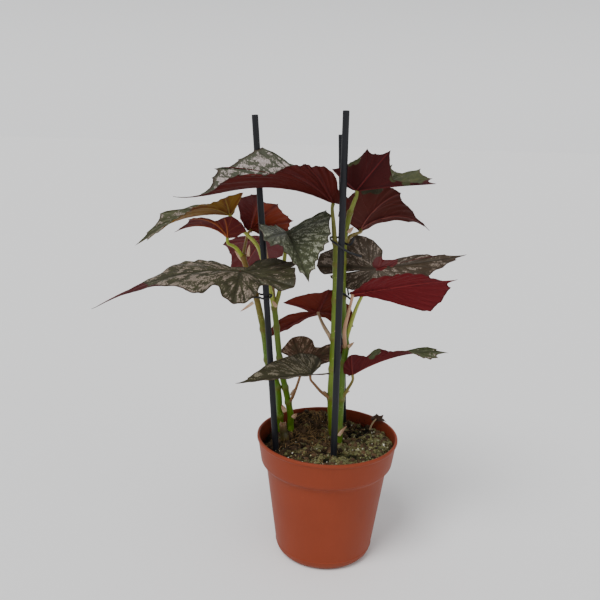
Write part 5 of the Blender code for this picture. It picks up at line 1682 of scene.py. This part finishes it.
def make_camera():
    """The camera, turned by its yaw, pitch and roll from a level look along +Y."""
    yaw, pitch, roll = (math.radians(angle) for angle in (CAMERA_YAW, CAMERA_PITCH, CAMERA_ROLL))
    ahead = np.array((math.sin(yaw) * math.cos(pitch), math.cos(yaw) * math.cos(pitch), -math.sin(pitch)))
    level = unit(np.cross(ahead, (0, 0, 1)))
    above = np.cross(level, ahead)
    right = math.cos(roll) * level + math.sin(roll) * above
    up = -math.sin(roll) * level + math.cos(roll) * above
    lens = bpy.data.cameras.new("camera")
    lens.lens = CAMERA_LENS
    lens.sensor_width = 36.0
    lens.clip_start = 0.01
    eye = linked("camera", lens)
    place = [c * MM for c in CAMERA_PLACE]
    eye.matrix_world = Matrix([*zip(right, up, -ahead, place), (0, 0, 0, 1)])
    bpy.context.scene.camera = eye


def make_stage(settings):
    """A wide pale floor, a pale sky that is brightest at the horizon, two soft suns and the camera."""
    make_floor(settings)
    make_sky(settings)
    for name, way, strength, width in SUNS:
        sun = bpy.data.lights.new(name, "SUN")
        sun.energy = strength * settings.light
        sun.angle = math.radians(width)
        linked(name, sun).rotation_euler = Vector(way).to_track_quat("Z", "Y").to_euler()
    make_camera()


# Settings, operators and panel


def colour_setting(name, description, red, green, blue):
    """A colour that the user can change."""
    return FloatVectorProperty(name=name, description=description, default=tone(red, green, blue)[:3],
                               subtype="COLOR", size=3, min=0.0, max=1.0)


def number_setting(name, description, default, low, high):
    """A number that the user can change, whole where its default is whole."""
    kind = IntProperty if isinstance(default, int) else FloatProperty
    return kind(name=name, description=description, default=default, min=low, max=high)


class PotSettings(bpy.types.PropertyGroup):
    """The pot's finish."""

    colour: colour_setting("Plastic", "Colour of the moulded plastic", 124, 52, 29)
    sides: number_setting("Sides", "Flats round the pot", 192, 48, 512)


class SoilSettings(bpy.types.PropertyGroup):
    """The soil and what lies on it."""

    rings: number_setting("Rings", "Rings of the soil's grid", 110, 20, 200)
    columns: number_setting("Columns", "Points round each ring", 260, 40, 400)
    moss: number_setting("Moss", "How many moss cushions grow on the soil", 620, 1, 2000)
    crumbs: number_setting("Crumbs", "How many peat crumbs lie loose", 2600, 12, 6000)
    grains: number_setting("Pale grains", "How many pale grains show", 230, 1, 900)
    fibres: number_setting("Rootlets", "How many rootlets and straws", 420, 1, 900)


class StemSettings(bpy.types.PropertyGroup):
    """Canes, stakes and ties."""

    node_spacing: number_setting("Node spacing", "Length between nodes in mm", 34.0, 10.0, 100.0)
    node_bulge: number_setting("Node bulge", "Swelling at a node", 0.24, 0.0, 1.0)
    tie_radius: number_setting("Tie radius", "Radius of a tie in mm", 0.95, 0.2, 3.0)
    colour: colour_setting("Stake", "Colour of the stakes", 17, 18, 23)


class LeafSettings(bpy.types.PropertyGroup):
    """The leaf blades."""

    rows: number_setting("Rows", "Rings of points in a blade", 44, 6, 80)
    blade: number_setting("Thickness", "Blade thickness in mm", 0.62, 0.2, 1.5)
    rib: number_setting("Rib", "How far veins stand out beneath, in mm", 0.7, 0.0, 2.0)
    edge_cut: number_setting("Cut", "How far the edge is drawn in between teeth", 0.06, 0.0, 0.5)
    teeth: number_setting("Small teeth", "Size of the small teeth", 0.4, 0.0, 3.0)
    ruffle: number_setting("Ruffle", "Height of the edge's ruffle in leaf lengths", 0.006, 0.0, 0.1)
    wave: number_setting("Wave", "Height of the slow waves in leaf lengths", 0.008, 0.0, 0.1)


class StageSettings(bpy.types.PropertyGroup):
    """Floor and light."""

    floor_tone: number_setting("Floor", "Floor grey from 0 to 255", 240, 0, 255)
    sky: number_setting("Sky", "Strength of the sky overhead", 0.55, 0.0, 5.0)
    horizon: number_setting("Horizon", "Strength of the sky at the horizon", 1.1, 0.0, 5.0)
    light: number_setting("Light", "Strength of the suns", 1.0, 0.0, 10.0)


class BEGONIA_OT_pot(bpy.types.Operator):
    """Build the pot"""

    bl_idname = "begonia.pot"
    bl_label = "Pot"

    def execute(self, context):
        make_pot(context.scene.begonia_pot)
        return {"FINISHED"}


class BEGONIA_OT_soil(bpy.types.Operator):
    """Build the soil and the moss, crumbs, grains and rootlets on it"""

    bl_idname = "begonia.soil"
    bl_label = "Soil and litter"

    def execute(self, context):
        make_soil(context.scene.begonia_soil)
        make_litter(context.scene.begonia_soil)
        make_scrap()
        return {"FINISHED"}


class BEGONIA_OT_stakes(bpy.types.Operator):
    """Build the stakes and the ties"""

    bl_idname = "begonia.stakes"
    bl_label = "Stakes and ties"

    def execute(self, context):
        make_stakes(context.scene.begonia_stems)
        make_ties(context.scene.begonia_stems)
        return {"FINISHED"}


class BEGONIA_OT_canes(bpy.types.Operator):
    """Build the canes with their leaf stalks, the old stub and the dry sheaths"""

    bl_idname = "begonia.canes"
    bl_label = "Canes"

    def execute(self, context):
        make_canes(context.scene.begonia_stems)
        make_stub()
        make_sheaths()
        return {"FINISHED"}


class BEGONIA_OT_leaves(bpy.types.Operator):
    """Build the leaf blades"""

    bl_idname = "begonia.leaves"
    bl_label = "Leaves"

    def execute(self, context):
        settings = context.scene.begonia_leaves
        for number, blade in enumerate(LEAVES):
            bundle = Bundle()
            add_blade(bundle, blade, number, settings)
            piece = bundle.build(blade.name + "_blade", leaf_finish(blade.name, LOOKS[blade.name]))
            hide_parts(blade.name)
        return {"FINISHED"}


class BEGONIA_OT_stage(bpy.types.Operator):
    """Build the floor, the lights and the camera"""

    bl_idname = "begonia.stage"
    bl_label = "Stage"

    def execute(self, context):
        make_stage(context.scene.begonia_stage)
        return {"FINISHED"}


class BEGONIA_PT_sidebar(bpy.types.Panel):
    """The buttons that build each group of pieces"""

    bl_label = "Begonia"
    bl_category = "Begonia"
    bl_space_type = "VIEW_3D"
    bl_region_type = "UI"

    def draw(self, context):
        for kind in OPERATORS:
            self.layout.operator(kind.bl_idname)
        for key, settings in SETTINGS.items():
            box = self.layout.box()
            for name in settings.__annotations__:
                box.prop(getattr(context.scene, key), name)


SETTINGS = {
    "begonia_pot": PotSettings,
    "begonia_soil": SoilSettings,
    "begonia_stems": StemSettings,
    "begonia_leaves": LeafSettings,
    "begonia_stage": StageSettings,
}
OPERATORS = (
    BEGONIA_OT_pot, BEGONIA_OT_soil, BEGONIA_OT_stakes, BEGONIA_OT_canes, BEGONIA_OT_leaves, BEGONIA_OT_stage)


def register():
    """Makes the settings, operators and panel known."""
    for kind in (*SETTINGS.values(), *OPERATORS, BEGONIA_PT_sidebar):
        bpy.utils.register_class(kind)
    for key, settings in SETTINGS.items():
        setattr(bpy.types.Scene, key, PointerProperty(type=settings))


def unregister():
    """Takes them away again."""
    for key in SETTINGS:
        delattr(bpy.types.Scene, key)
    for kind in (BEGONIA_PT_sidebar, *reversed(OPERATORS), *reversed(SETTINGS.values())):
        bpy.utils.unregister_class(kind)


def main():
    """Builds everything in order."""
    register()
    for kind in OPERATORS:
        group, name = kind.bl_idname.split(".")
        getattr(getattr(bpy.ops, group), name)()
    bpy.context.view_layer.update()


if __name__ == "__main__":
    main()
